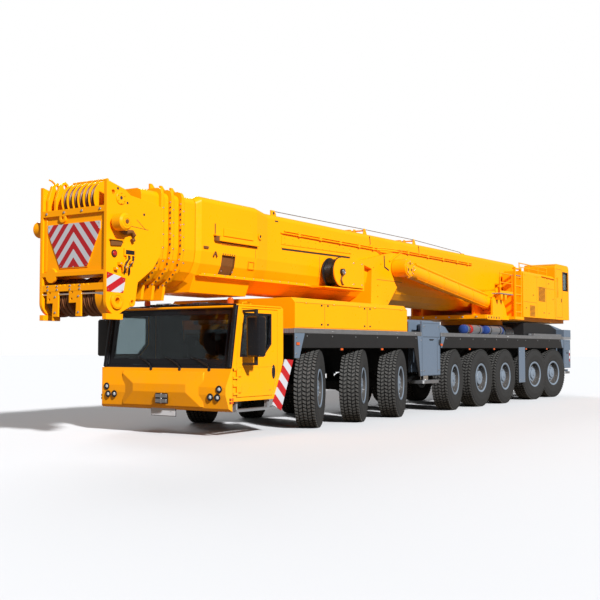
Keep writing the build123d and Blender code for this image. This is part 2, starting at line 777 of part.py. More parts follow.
eye_x, eye_z = cylinder_eye
saddle_half = cheek_inner + cheek_thick
collar_half = boom_half + ring_grow
collar_full_x = collar_rear_x + collar_taper
collar_edge_x = boom_front_x - collar_front_taper
rail_x = (6490, 7670)
rail_z = 3455
cover_x = (6610, 7500)
cover_z = 3590
pocket_x = (7130, 7520)
pocket_z = (2830, 3180)
pocket_depth = 50
ledge_x = (4500, 8100)
ledge_z = 2790
bracket_rear_x = 2900
bracket_thick = 24
hub_pin_radius = 70

with BuildPart() as pocket:
    add(section_solid(*pocket_x, -ring_grow - 1))
    add(section_solid(*pocket_x, pocket_depth - ring_grow), mode=Mode.SUBTRACT)
    with Locations((sum(pocket_x) / 2, 0, sum(pocket_z) / 2)):
        Box(pocket_x[1] - pocket_x[0], 4 * boom_half, pocket_z[1] - pocket_z[0], mode=Mode.INTERSECT)

with BuildPart() as reel_bracket:
    with BuildSketch(Plane.XZ.offset(-reel_end_y)):
        with Locations((reel_x, reel_z)):
            Circle(reel_radius - 10)
        with Locations(((reel_x + bracket_rear_x) / 2, reel_z)):
            Rectangle(reel_x - bracket_rear_x, 2 * (reel_radius - 10))
        with Locations((reel_x, reel_z)):
            Circle(hub_pin_radius + seat_gap, mode=Mode.SUBTRACT)
    extrude(amount=-bracket_thick)
    bracket_end = reel_end_y + bracket_thick
    with Locations((bracket_rear_x + 20, (boom_half - 30 + bracket_end) / 2, reel_z)):
        Box(40, bracket_end - boom_half + 30, 2 * (reel_radius - 10))
    shelf_z = reel_z - reel_radius - 30
    with Locations(((bracket_rear_x + ledge_x[0]) / 2, (500 + bracket_end) / 2, shelf_z)):
        Box(ledge_x[0] - bracket_rear_x, bracket_end - 500, 24)
    with Locations((bracket_rear_x + 20, (500 + bracket_end) / 2, (shelf_z + reel_z - reel_radius) / 2)):
        Box(40, bracket_end - 500, 60)

with BuildPart() as base_boom:
    add(section_solid(boom_rear_x, boom_front_x, 0))
    add(section_taper(collar_rear_x, collar_full_x, 0, -ring_grow))
    add(section_solid(collar_full_x, collar_edge_x, -ring_grow))
    add(section_taper(collar_edge_x, boom_front_x, -ring_grow, 0))
    add(belly_block(*belly_box_x, 480, belly_box_bottom))
    saddle = [
        (eye_x + 1800, 3420), (eye_x - 366, 3860), (eye_x - 390, 3220), (eye_x + 370, 2500), (eye_x + 1160, 2500),
        (eye_x + 1115, 3300),
    ]
    add(side_plate(saddle, -saddle_half, 2 * saddle_half))
    for x in (2090, -400):
        with Locations((x, 0, boom_top + 60)):
            Box(70, 420, 140)
    for side in (-1, 1):
        with Locations(((rail_x[0] + rail_x[1]) / 2, side * (collar_half + 25), rail_z)):
            Box(rail_x[1] - rail_x[0], 90, 80)
        with Locations(((cover_x[0] + cover_x[1]) / 2, side * collar_half, cover_z)):
            Box(cover_x[1] - cover_x[0], 50, 140)
        with Locations(((ledge_x[0] + ledge_x[1]) / 2, side * (boom_half - 100), ledge_z)):
            Box(ledge_x[1] - ledge_x[0], 200, 24)
        with Locations(Location((boom_pivot[0], side * (boom_half - 20), boom_pivot[1]), (90, 0, 0))):
            Cylinder(250, 90)
    add(reel_bracket.part)
    with Locations((reel_x, boom_half - 80, reel_z)):
        Box(240, 160, 240)
    add(pocket.part, mode=Mode.SUBTRACT)
    add(section_solid(boom_rear_x + 40, boom_front_x - 60, boom_wall), mode=Mode.SUBTRACT)
    add(section_solid(boom_front_x - 100, boom_front_x + 10, section_step - 0.5), mode=Mode.SUBTRACT)
    with Locations(across(*boom_pivot)):
        Cylinder(boom_pin_radius + running_gap, 4 * boom_half, mode=Mode.SUBTRACT)
save(base_boom.part, "boom_base")


def make_section(number):
    """One telescoping section with the flanged ring at its front end."""
    ring_low, ring_high = section_rings[number - 1]
    flange_x = ring_high - flange_length
    shrink = number * section_step
    rear = boom_rear_x + 450 + number * section_rear_step
    ear = [
        (flange_x - 160, boom_top - 20), (ring_high, boom_top - 20), (ring_high, boom_top + 140),
        (flange_x + 15, boom_top + 140),
    ]
    with BuildPart() as section:
        add(section_solid(rear, ring_high, shrink))
        add(section_solid(ring_low, ring_high, 0))
        add(section_taper(flange_x - flange_taper, flange_x, 0, -ring_grow))
        add(section_solid(flange_x, ring_high, -ring_grow))
        add(belly_block(flange_x, ring_high, 300, ring_foot))
        for side in (-1, 1):
            add(on_side(side_plate(ear, 460, 40), side))
        add(section_solid(rear - 10, ring_high - 60, shrink + boom_wall - 3), mode=Mode.SUBTRACT)
        if number < len(section_rings):
            lip = shrink + section_step - 0.5
            add(section_solid(ring_high - 100, ring_high + 10, lip), mode=Mode.SUBTRACT)
    return section.part


for number in range(1, len(section_rings) + 1):
    save(make_section(number), f"boom_section_{number}")

# Boom head on the innermost section's ring: neck, cheek plates, panel, shafts and rope guards
head_rear_x = section_rings[-1][1]
neck_front_x = head_rear_x + 420
inner_half = head_half - head_plate
upper_shaft = (10080, 3860)
lower_shaft = (10020, 2330)
shaft_radius = 70
upper_sheave_radius = 275
lower_sheave_radius = 310
sheave_width = 64
upper_sheave_ys = [-200 + 120 * i for i in range(6)]
lower_sheave_ys = [-600, -345, -250, -155, 135, 230, 325, 420]
jib_eye = (10166, 2250)
jib_pin_radius = 50
rear_lug = (9810, 2240)
roller = (10200, 3460)
panel_x = head_front_x - 90
panel_z = (2690, 3650)
beam_z_low = 3620
guard_x = head_front_x - 40
head_outline = [
    (head_front_x, 4110), (10320, 4095), (9990, 4013), (9855, 3930), (9380, 3875), (head_rear_x, 3830),
    (head_rear_x, 3050), (9330, 2800), (9680, 2560), (9735, 2240), (9840, 2170), (10086, 2060), (10166, 2036),
    (head_front_x, jib_eye[1]),
]
shield = [(-600, 3500), (600, 3500), (600, 3370), (310, 2780), (-310, 2780), (-600, 3370)]
guards = [
    [(-580, 2470), (-310, 2470), (-316, 2015), (-454, 2015), (-440, 2230), (-580, 2230)],
    [(-72, 2470), (198, 2470), (202, 2015), (80, 2015), (92, 2230), (-72, 2230)],
]
top_lug = [
    (9900, 3540), (10330, 3540), (10330, 3900), (10250, 4150), (10140, 4220), (10030, 4150), (9950, 3900),
]

with BuildPart() as cheek_plate:
    with BuildSketch(Plane.XZ.offset(-inner_half)):
        with BuildLine():
            Polyline(*head_outline, close=True)
        make_face()
        with Locations(jib_eye):
            Circle(head_front_x - jib_eye[0])
        with Locations(rear_lug):
            Circle(75)
            Circle(30, mode=Mode.SUBTRACT)
        with Locations((10244, 3931)):
            Circle(40, mode=Mode.SUBTRACT)
    extrude(amount=-head_plate)
    with Locations(Location((jib_eye[0], head_half + 20, jib_eye[1]), (90, 0, 0))):
        Cylinder(130, 40)
    with Locations(Location((roller[0], head_half + 30, roller[1]), (90, 0, 0))):
        Cylinder(70, 80)
    with Locations(Location((roller[0], head_half + 155, roller[1]), (90, 0, 0))):
        Cylinder(135, 200)
    chamfer(cheek_plate.faces().sort_by(Axis.Y)[-1].edges(), 30)
    with Locations((10190, head_half - 42, 2005)):
        Box(360, 85, 90)
    with Locations(Location((jib_eye[0], head_half, jib_eye[1]), (90, 0, 0))):
        Cylinder(jib_pin_radius, 200, mode=Mode.SUBTRACT)

with BuildPart() as rope_guards:
    with Locations((guard_x + 18, 0, 2470)):
        Box(36, 2 * inner_half + 10, 110)
    for i in range(8):
        with Locations(Location((guard_x, -360 + 105 * i, 2525), (0, 90, 0))):
            Cylinder(24, 200, mode=Mode.SUBTRACT)
    for outline in guards:
        with BuildSketch(Plane.YZ.offset(guard_x + 6)):
            with BuildLine():
                Polyline(*outline, close=True)
            make_face()
            with Locations((outline[0][0] + 70, 2400), (outline[0][0] + 60, 2290)):
                Circle(20, mode=Mode.SUBTRACT)
        extrude(amount=28)
    with Locations(across(head_front_x - 28, 2372)):
        Cylinder(16, 2 * inner_half + 10)
    with BuildSketch(Plane.XZ.offset(-490)):
        with Locations(lower_shaft):
            Circle(lower_sheave_radius + 32)
            Circle(lower_sheave_radius + 12, mode=Mode.SUBTRACT)
        with Locations((lower_shaft[0] + 300, lower_shaft[1])):
            Rectangle(400, 620, mode=Mode.INTERSECT)
    extrude(amount=-(inner_half + 5 - 490))

with BuildPart() as head:
    add(section_solid(head_rear_x, neck_front_x, 0))
    add(section_solid(head_rear_x + 40, neck_front_x - 40, 40), mode=Mode.SUBTRACT)
    for side in (1, -1):
        add(on_side(cheek_plate.part, side))
    span = 2 * inner_half + 10
    with Locations((panel_x + 25, 0, sum(panel_z) / 2)):
        Box(50, span, panel_z[1] - panel_z[0])
    with Locations((head_front_x - 22.5, 0, beam_z_low + 50)):
        Box(45, span, 100)
    with Locations((head_front_x - 25, 0, panel_z[0])):
        Box(50, span, 70)
    for z in (panel_z[0] + 20, upper_shaft[1] - upper_sheave_radius - 45):
        with Locations(((neck_front_x - 20 + panel_x) / 2, 0, z)):
            Box(panel_x - neck_front_x + 40, span, 40)
    with BuildSketch(Plane.YZ.offset(panel_x + 50)):
        with BuildLine():
            Polyline(*shield, close=True)
        make_face()
    extrude(amount=12)
    with BuildSketch(Plane.YZ.offset(panel_x + 50)):
        with Locations((-235, 3585)):
            Circle(75)
            Circle(28, mode=Mode.SUBTRACT)
        with Locations((-487, 2676)):
            Circle(120)
    extrude(amount=head_front_x - panel_x - 50)
    for shaft in (upper_shaft, lower_shaft):
        with Locations(across(*shaft)):
            Cylinder(shaft_radius, 2 * head_half)
    for y in [upper_sheave_ys[0] - 60 + 120 * i for i in range(len(upper_sheave_ys) + 1)]:
        with Locations(Location((upper_shaft[0], y, upper_shaft[1]), (90, 0, 0))):
            Cylinder(upper_sheave_radius + 25, 14)
    with Locations(Location((upper_shaft[0] + 20, 100, upper_shaft[1] + upper_sheave_radius + 35), (90, 0, 0))):
        Cylinder(25, 760)
    for y in (-640, -460):
        add(side_plate(top_lug, y - 25, 50))
        with Locations(Location((10140, y, 4130), (90, 0, 0))):
            Cylinder(40, 60, mode=Mode.SUBTRACT)
    add(rope_guards.part)
save(head.part, "boom_head")


def make_sheave(radius):
    half = sheave_width / 2
    bore = shaft_radius + running_gap
    with BuildPart() as sheave:
        with BuildSketch(Plane.XY):
            with BuildLine():
                Polyline(
                    (bore, -half), (bore + 40, -half), (bore + 60, -half + 16), (radius - 60, -half + 16),
                    (radius - 40, -half), (radius, -half), (radius - 35, 0), (radius, half), (radius - 40, half),
                    (radius - 60, half - 16), (bore + 60, half - 16), (bore + 40, half), (bore, half), close=True,
                )
            make_face()
        revolve(axis=Axis.Y)
    return sheave.part


upper_sheave = make_sheave(upper_sheave_radius)
lower_sheave = make_sheave(lower_sheave_radius)
sheaves = [Pos(upper_shaft[0], y, upper_shaft[1]) * upper_sheave for y in upper_sheave_ys]
sheaves += [Pos(lower_shaft[0], y, lower_shaft[1]) * lower_sheave for y in lower_sheave_ys]
save(Compound(children=sheaves), "head_sheaves")

# Cable reel on the boom's left side, between the boom and its bracket
with BuildPart() as reel:
    with Locations(Location((reel_x, (boom_half + reel_end_y) / 2, reel_z), (90, 0, 0))):
        Cylinder(190, reel_end_y - boom_half)
    for y in (boom_half + 50, reel_end_y - 20):
        with Locations(Location((reel_x, y, reel_z), (90, 0, 0))):
            Cylinder(reel_radius, 20)
    with Locations(Location((reel_x, reel_end_y + 30, reel_z), (90, 0, 0))):
        Cylinder(hub_pin_radius, 100)
save(reel.part, "cable_reel")

# Luffing cylinders: barrels on the turntable, rods to the boom's saddle
stroke_line = Vector(eye_x - foot_x, 0, eye_z - foot_z)
cylinder_length = stroke_line.length
barrel_length = cylinder_length - eye_radius - 90
along = Plane(origin=(foot_x, cylinder_y, foot_z), x_dir=(0, 1, 0), z_dir=stroke_line)


def make_barrel():
    with BuildPart() as barrel:
        with BuildSketch(along):
            Circle(cylinder_radius)
        extrude(amount=barrel_length)
        with BuildSketch(along.offset(barrel_length - 160)):
            Circle(cylinder_radius + 8)
        extrude(amount=160)
        with BuildSketch(along.offset(350)):
            with Locations((60, cylinder_radius + 20)):
                Circle(35)
        extrude(amount=barrel_length - 600)
        with Locations(Location((foot_x, cylinder_y, foot_z), (90, 0, 0))):
            Cylinder(cylinder_radius + 15, 2 * eye_half)
            Cylinder(cylinder_pin_radius + running_gap, 600, mode=Mode.SUBTRACT)
        with BuildSketch(along.offset(rod_start - 200)):
            Circle(rod_radius + running_gap)
        extrude(amount=barrel_length, mode=Mode.SUBTRACT)
    return barrel.part


def make_rod():
    with BuildPart() as rod:
        with BuildSketch(along.offset(rod_start)):
            Circle(rod_radius)
        extrude(amount=cylinder_length - rod_start)
        with Locations(Location((eye_x, cylinder_y, eye_z), (90, 0, 0))):
            Cylinder(eye_radius, 2 * eye_half)
        with Locations(Location((eye_x, cylinder_y + eye_half + 12, eye_z), (90, 0, 0))):
            Cylinder(eye_radius - 40, 40)
    return rod.part


save(Compound(children=[on_side(make_barrel(), s) for s in (1, -1)]), "luffing_barrels")
save(Compound(children=[on_side(make_rod(), s) for s in (1, -1)]), "luffing_rods")
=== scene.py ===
"""Looks of the mobile crane: finishes, treaded tyres, glass, stripes, trim, light and camera.

Everything is in metres in the crane's own frame: +X to the front, +Y to its left, +Z up, ground at z = 0.
"""

import json
import math

import bmesh
import bpy
from mathutils import Matrix, Vector


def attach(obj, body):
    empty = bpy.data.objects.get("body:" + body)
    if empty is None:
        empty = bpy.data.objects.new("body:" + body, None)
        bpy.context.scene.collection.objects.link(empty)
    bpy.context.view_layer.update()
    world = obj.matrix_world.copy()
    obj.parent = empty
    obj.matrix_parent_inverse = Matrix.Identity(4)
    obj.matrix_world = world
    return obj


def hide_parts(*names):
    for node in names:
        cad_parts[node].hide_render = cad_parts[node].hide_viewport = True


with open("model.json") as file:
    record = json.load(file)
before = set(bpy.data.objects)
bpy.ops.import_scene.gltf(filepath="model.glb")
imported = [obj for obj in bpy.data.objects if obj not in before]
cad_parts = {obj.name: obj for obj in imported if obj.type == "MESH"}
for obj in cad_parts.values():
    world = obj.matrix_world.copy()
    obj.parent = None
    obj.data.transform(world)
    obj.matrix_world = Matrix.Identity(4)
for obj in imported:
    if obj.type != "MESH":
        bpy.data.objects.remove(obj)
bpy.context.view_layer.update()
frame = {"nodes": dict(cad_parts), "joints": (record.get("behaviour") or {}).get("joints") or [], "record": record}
nodes = frame["nodes"]
joints = {joint["name"]: joint for joint in frame["joints"]}
SIDES = (1, -1)
SIDE_NAMES = (("left", 1), ("right", -1))
X_AXIS, Y_AXIS, Z_AXIS = (1.0, 0.0, 0.0), (0.0, 1.0, 0.0), (0.0, 0.0, 1.0)
ORIGIN = (0.0, 0.0, 0.0)
TYRE_RADIUS = 0.745
TYRE_HALF = 0.2225

# Camera, worked out from the photograph's vanishing lines
CAMERA_PLACE = Vector((20.709, 11.135, 1.515))
CAMERA_YAW = math.radians(33.497)
CAMERA_PITCH = math.radians(2.938)
CAMERA_LENS = 56.48
SENSOR_WIDTH = 36.0
VIEW_END = 400.0

# Lights: name, strength, width in degrees and the way the light travels
LIGHTS = [
    ("key light", 5.8, 4, (-0.377, -0.779, -0.50)),
    ("back light", 1.5, 25, (0.60, 0.70, -0.45)),
]
SKY_FILL = 0.22
SKY_SEEN = 1.0

# Floor: its half width, and its colour as the camera sees it and as it lights the crane
FLOOR_HALF = 150.0
FLOOR_SEEN = (0.72, 0.73, 0.75, 1.0)
FLOOR_BOUNCE = (0.26, 0.22, 0.18, 1.0)

# Colours
YELLOW = (0.95, 0.345, 0.001, 1.0)
PALE_YELLOW = (1.0, 0.42, 0.006, 1.0)
GREY = (0.115, 0.150, 0.200, 1.0)
PALE_GREY = (0.20, 0.23, 0.27, 1.0)
RIM_GREY = (0.160, 0.195, 0.240, 1.0)
BLACK = (0.009, 0.009, 0.010, 1.0)
DUST = (0.16, 0.13, 0.10, 1.0)
RUBBER = (0.013, 0.013, 0.013, 1.0)
ROAD_GREY = (0.13, 0.127, 0.120, 1.0)
STRIPE_RED = (0.42, 0.005, 0.010, 1.0)
STRIPE_WHITE = (0.50, 0.51, 0.55, 1.0)


# Shader building
def set_sockets(tree, node, values):
    """Each socket of a node is joined to another node's socket or set to a value."""
    for name, value in values.items():
        if isinstance(value, bpy.types.NodeSocket):
            tree.links.new(value, node.inputs[name])
        else:
            node.inputs[name].default_value = value


def put(tree, kind, sockets=None, **settings):
    """Adds a shader node with its settings and sockets."""
    node = tree.nodes.new("ShaderNode" + kind)
    for name, value in settings.items():
        setattr(node, name, value)
    set_sockets(tree, node, sockets or {})
    return node


def math_node(tree, operation, a, b=0.0, clamp=False):
    return put(tree, "Math", {0: a, 1: b}, operation=operation, use_clamp=clamp).outputs[0]


def mix_colours(tree, factor, a, b):
    return put(tree, "Mix", {0: factor, 6: a, 7: b}, data_type="RGBA").outputs[2]


def remap(tree, value, low, high, to_low, to_high):
    sockets = {"Value": value, "From Min": low, "From Max": high, "To Min": to_low, "To Max": to_high}
    return put(tree, "MapRange", sockets).outputs[0]


def new_group(name, inputs, outputs):
    """A shader node group with named sockets; returns its tree, its entry sockets and its exit sockets."""
    tree = bpy.data.node_groups.new(name, "ShaderNodeTree")
    for label, kind in inputs.items():
        tree.interface.new_socket(label, in_out="INPUT", socket_type="NodeSocket" + kind)
    for label, kind in outputs.items():
        tree.interface.new_socket(label, in_out="OUTPUT", socket_type="NodeSocket" + kind)
    entry = tree.nodes.new("NodeGroupInput")
    leave = tree.nodes.new("NodeGroupOutput")
    return tree, entry.outputs, leave.inputs


def object_place(tree):
    return put(tree, "TexCoord").outputs["Object"]


def make_mottle_group():
    """Slow changes of a paint's brightness, and finer ones for its gloss."""
    tree, entry, leave = new_group(
        "mottle", {"Color": "Color", "Scale": "Float", "Amount": "Float"}, {"Color": "Color", "Fine": "Float"}
    )
    place = object_place(tree)
    slow = put(tree, "TexNoise", {"Vector": place, "Scale": entry["Scale"], "Detail": 4.0}).outputs[0]
    fine_scale = math_node(tree, "MULTIPLY", entry["Scale"], 17.0)
    fine = put(tree, "TexNoise", {"Vector": place, "Scale": fine_scale, "Detail": 3.0}).outputs[0]
    shift = math_node(tree, "MULTIPLY", math_node(tree, "SUBTRACT", slow, 0.5), entry["Amount"])
    value = math_node(tree, "ADD", shift, 1.0)
    tint = put(tree, "HueSaturation", {"Color": entry["Color"], "Value": value})
    tree.links.new(tint.outputs[0], leave["Color"])
    tree.links.new(fine, leave["Fine"])
    return tree


def make_edge_group():
    """Rounded-over edges: a softened normal, and a mask along the edges where paint wears."""
    tree, entry, leave = new_group("edges", {"Radius": "Float"}, {"Normal": "Vector", "Edge": "Float"})
    bevel = put(tree, "Bevel", {"Radius": entry["Radius"]}, samples=4)
    facing = put(tree, "NewGeometry").outputs["Normal"]
    dot = put(tree, "VectorMath", {0: bevel.outputs[0], 1: facing}, operation="DOT_PRODUCT").outputs["Value"]
    turn = math_node(tree, "SUBTRACT", 1.0, dot)
    scuff = put(tree, "TexNoise", {"Vector": object_place(tree), "Scale": 9.0, "Detail": 5.0}).outputs[0]
    worn = math_node(tree, "MULTIPLY", turn, remap(tree, scuff, 0.42, 0.68, 0.4, 5.0), clamp=True)
    tree.links.new(bevel.outputs[0], leave["Normal"])
    tree.links.new(worn, leave["Edge"])
    return tree


def make_dust_group():
    """Road dust that thins out with height above the ground, in streaks."""
    tree, entry, leave = new_group(
        "road dust", {"Color": "Color", "Dust": "Color", "Top": "Float", "Amount": "Float"}, {"Color": "Color"}
    )
    place = object_place(tree)
    height = put(tree, "SeparateXYZ", {0: place}).outputs["Z"]
    low = math_node(tree, "SUBTRACT", 1.0, math_node(tree, "DIVIDE", height, entry["Top"]), clamp=True)
    streak = put(tree, "TexNoise", {"Vector": place, "Scale": 2.4, "Detail": 6.0, "Roughness": 0.65}).outputs[0]
    patch = remap(tree, streak, 0.35, 0.75, 0.0, 1.0)
    mask = math_node(tree, "MULTIPLY", math_node(tree, "MULTIPLY", low, patch), entry["Amount"], clamp=True)
    tree.links.new(mix_colours(tree, mask, entry["Color"], entry["Dust"]), leave["Color"])
    return tree


def make_stripe_group():
    """Slanting bands: a mask that changes along a direction, mirrored about the middle plane."""
    tree, entry, leave = new_group("stripes", {"Direction": "Vector", "Period": "Float"}, {"Mask": "Float"})
    place = put(tree, "SeparateXYZ", {0: object_place(tree)}).outputs
    across = math_node(tree, "ABSOLUTE", place["Y"])
    folded = put(tree, "CombineXYZ", {"X": place["X"], "Y": across, "Z": place["Z"]}).outputs[0]
    run = put(tree, "VectorMath", {0: folded, 1: entry["Direction"]}, operation="DOT_PRODUCT").outputs["Value"]
    phase = math_node(tree, "FRACT", math_node(tree, "DIVIDE", run, entry["Period"]))
    tree.links.new(math_node(tree, "GREATER_THAN", phase, 0.5), leave["Mask"])
    return tree


def make_tread_plate_group():
    """Raised bars of chequered plate, slanting one way and the other by turns."""
    tree, entry, leave = new_group("tread plate", {"Pitch": "Float"}, {"Bar": "Float"})
    place = put(tree, "VectorMath", {0: object_place(tree), 1: (1, 1, 0)}, operation="MULTIPLY").outputs[0]
    scale = math_node(tree, "DIVIDE", 1.0, entry["Pitch"])
    cells = put(tree, "VectorMath", {0: place, "Scale": scale}, operation="SCALE").outputs[0]
    inside = put(tree, "VectorMath", {0: cells}, operation="FRACTION").outputs[0]
    spot = put(tree, "SeparateXYZ", {0: inside}).outputs
    whole = put(tree, "SeparateXYZ", {0: cells}).outputs
    u = math_node(tree, "SUBTRACT", spot["X"], 0.5)
    v = math_node(tree, "SUBTRACT", spot["Y"], 0.5)
    rows = math_node(tree, "ADD", math_node(tree, "FLOOR", whole["X"]), math_node(tree, "FLOOR", whole["Y"]))
    odd = math_node(tree, "FLOORED_MODULO", rows, 2.0)
    turn = math_node(tree, "SUBTRACT", math_node(tree, "MULTIPLY", odd, 2.0), 1.0)
    w = math_node(tree, "MULTIPLY", v, turn)
    long_way = math_node(tree, "POWER", math_node(tree, "MULTIPLY", math_node(tree, "ADD", u, w), 1.55), 2.0)
    short_way = math_node(tree, "POWER", math_node(tree, "MULTIPLY", math_node(tree, "SUBTRACT", u, w), 5.2), 2.0)
    reach = math_node(tree, "ADD", long_way, short_way)
    tree.links.new(remap(tree, reach, 0.6, 1.1, 1.0, 0.0), leave["Bar"])
    return tree


MOTTLE = make_mottle_group()
EDGES = make_edge_group()
ROAD_DUST = make_dust_group()
STRIPES = make_stripe_group()
TREAD_PLATE = make_tread_plate_group()


def use_group(tree, group, values):
    """Places a node group and returns its outputs."""
    return put(tree, "Group", values, node_tree=group).outputs


def new_material(name, colour, roughness, metallic=0.0):
    """A material with its Principled shader; returns the material, its tree and the shader."""
    material = bpy.data.materials.new(name)
    material.use_nodes = True
    tree = material.node_tree
    shader = tree.nodes["Principled BSDF"]
    set_sockets(tree, shader, {"Base Color": colour, "Roughness": roughness, "Metallic": metallic})
    return material, tree, shader


def vary_gloss(tree, shader, film, low, high):
    """Roughness between low and high, after a film's fine noise."""
    set_sockets(tree, shader, {"Roughness": remap(tree, film["Fine"], 0.3, 0.7, low, high)})


def bump(tree, shader, height, distance, normal=None):
    sockets = {"Height": height, "Distance": distance, "Strength": 1.0}
    if normal is not None:
        sockets["Normal"] = normal
    set_sockets(tree, shader, {"Normal": put(tree, "Bump", sockets).outputs[0]})


def painted(name, colour, worn_colour, gloss=(0.26, 0.42), dust=0.22, dust_top=1.6):
    """Sprayed steel: mottled colour, worn edges, dust low down and a thin clear coat."""
    material, tree, shader = new_material(name, colour, gloss[0])
    film = use_group(tree, MOTTLE, {"Color": colour, "Scale": 0.9, "Amount": 0.14})
    dusty = use_group(tree, ROAD_DUST, {"Color": film["Color"], "Dust": DUST, "Top": dust_top, "Amount": dust})
    edges = use_group(tree, EDGES, {"Radius": 0.012})
    worn = mix_colours(tree, math_node(tree, "MULTIPLY", edges["Edge"], 0.45), dusty["Color"], worn_colour)
    set_sockets(tree, shader, {"Base Color": worn})
    vary_gloss(tree, shader, film, *gloss)
    bump(tree, shader, film["Fine"], 0.0006, edges["Normal"])
    set_sockets(tree, shader, {"Specular IOR Level": 0.13, "Coat Weight": 0.03, "Coat Roughness": 0.10})
    return material


def moulded(name, colour, roughness=0.5, grain=0.0008, dust=0.06, dust_top=1.6):
    """Moulded plastic or sheet with a fine grain and a little dust."""
    material, tree, shader = new_material(name, colour, roughness)
    film = use_group(tree, MOTTLE, {"Color": colour, "Scale": 4.0, "Amount": 0.5})
    dusty = use_group(tree, ROAD_DUST, {"Color": film["Color"], "Dust": DUST, "Top": dust_top, "Amount": dust})
    edges = use_group(tree, EDGES, {"Radius": 0.008})
    set_sockets(tree, shader, {"Base Color": dusty["Color"]})
    vary_gloss(tree, shader, film, roughness - 0.1, roughness + 0.12)
    bump(tree, shader, film["Fine"], grain, edges["Normal"])
    return material


def metal(name, colour, roughness, scratches=0.0004):
    """Bare metal with fine machining marks."""
    material, tree, shader = new_material(name, colour, roughness, 1.0)
    film = use_group(tree, MOTTLE, {"Color": colour, "Scale": 6.0, "Amount": 0.3})
    edges = use_group(tree, EDGES, {"Radius": 0.006})
    set_sockets(tree, shader, {"Base Color": film["Color"]})
    vary_gloss(tree, shader, film, roughness * 0.7, roughness * 1.4)
    bump(tree, shader, film["Fine"], scratches, edges["Normal"])
    return material


def tread_plate(name):
    """Chequered aluminium plate for the walkways and steps."""
    colour = (0.30, 0.315, 0.34, 1.0)
    material, tree, shader = new_material(name, colour, 0.36, 0.5)
    film = use_group(tree, MOTTLE, {"Color": colour, "Scale": 2.0, "Amount": 0.35})
    bars = use_group(tree, TREAD_PLATE, {"Pitch": 0.055})
    dusty = use_group(tree, ROAD_DUST, {"Color": film["Color"], "Dust": DUST, "Top": 2.6, "Amount": 0.35})
    bright = mix_colours(tree, math_node(tree, "MULTIPLY", bars["Bar"], 0.4), dusty["Color"], (0.48, 0.49, 0.51, 1.0))
    set_sockets(tree, shader, {"Base Color": bright})
    vary_gloss(tree, shader, film, 0.28, 0.5)
    bump(tree, shader, bars["Bar"], 0.003)
    return material


def tyre_rubber(name):
    """Black rubber, greyed with dust on the faces that meet the road."""
    material, tree, shader = new_material(name, RUBBER, 0.82)
    place = put(tree, "VectorMath", {0: object_place(tree), 1: (1, 0, 1)}, operation="MULTIPLY").outputs[0]
    reach = put(tree, "VectorMath", {0: place}, operation="LENGTH").outputs["Value"]
    film = use_group(tree, MOTTLE, {"Color": RUBBER, "Scale": 9.0, "Amount": 0.8})
    road = remap(tree, reach, TYRE_RADIUS - 0.012, TYRE_RADIUS - 0.002, 0.0, 0.55)
    patch = math_node(tree, "MULTIPLY", road, remap(tree, film["Fine"], 0.3, 0.7, 0.5, 1.2), clamp=True)
    set_sockets(tree, shader, {"Base Color": mix_colours(tree, patch, film["Color"], ROAD_GREY)})
    bump(tree, shader, film["Fine"], 0.0012)
    return material


def clear_glass(name, tint, roughness=0.0):
    material, tree, shader = new_material(name, tint, roughness)
    set_sockets(tree, shader, {"Transmission Weight": 1.0, "IOR": 1.45})
    film = put(tree, "TexNoise", {"Vector": object_place(tree), "Scale": 1.2, "Detail": 2.0}).outputs[0]
    set_sockets(tree, shader, {"Roughness": remap(tree, film, 0.3, 0.8, roughness, roughness + 0.025)})
    return material


def lamp_lens(name, colour):
    """Ribbed lamp plastic over a bright reflector."""
    material, tree, shader = new_material(name, colour, 0.12)
    ribs = put(tree, "TexWave", {"Vector": object_place(tree), "Scale": 22.0}, bands_direction="Y").outputs[1]
    film = use_group(tree, MOTTLE, {"Color": colour, "Scale": 14.0, "Amount": 0.4})
    set_sockets(tree, shader, {"Base Color": film["Color"]})
    bump(tree, shader, ribs, 0.002)
    set_sockets(tree, shader, {"Coat Weight": 0.8})
    return material


def striped(name, direction, period):
    """Red and white reflective sheet with its fine honeycomb."""
    material, tree, shader = new_material(name, STRIPE_WHITE, 0.3)
    bands = use_group(tree, STRIPES, {"Direction": direction, "Period": period})
    colour = mix_colours(tree, bands["Mask"], STRIPE_WHITE, STRIPE_RED)
    film = use_group(tree, MOTTLE, {"Color": colour, "Scale": 3.0, "Amount": 0.25})
    set_sockets(tree, shader, {"Base Color": film["Color"]})
    cells = put(tree, "TexVoronoi", {"Vector": object_place(tree), "Scale": 140.0}).outputs[0]
    bump(tree, shader, cells, 0.0006)
    set_sockets(tree, shader, {"Coat Weight": 0.5})
    return material


yellow_paint = painted("yellow paint", YELLOW, PALE_YELLOW)
grey_paint = painted("grey paint", GREY, PALE_GREY, gloss=(0.3, 0.5))
rim_paint = painted("rim paint", RIM_GREY, PALE_GREY, gloss=(0.28, 0.45), dust=0.0)
# Near-black paint with some dust, standing for painted shade under the carrier and in the rim wells
painted_underside_shade = painted("painted underside shade", (0.03, 0.033, 0.037, 1.0), (0.10, 0.10, 0.11, 1.0), gloss=(0.5, 0.7), dust=0.3)
black_plastic = moulded("black plastic", BLACK)
gloss_black = moulded("gloss black", (0.006, 0.006, 0.008, 1.0), roughness=0.16, grain=0.0, dust=0.0)
dark_trim = moulded("dark trim", (0.02, 0.02, 0.022, 1.0), roughness=0.75, dust=0.0)
# Dark seams where panels meet; the same finish is also painted shade in dark strips under rails, the gaps at the
# section rims and the gaps between the hood slats
seam_shadow = moulded("dark seams and painted shade", (0.03, 0.022, 0.012, 1.0), roughness=0.8, dust=0.0)
sheave_plastic = moulded("sheave plastic", (0.17, 0.055, 0.014, 1.0), roughness=0.45, dust=0.0)
plate_white = moulded("plate white", (0.56, 0.56, 0.58, 1.0), roughness=0.4, dust=0.0)
lamp_black = moulded("lamp black", (0.010, 0.010, 0.011, 1.0), roughness=0.35, dust=0.0)
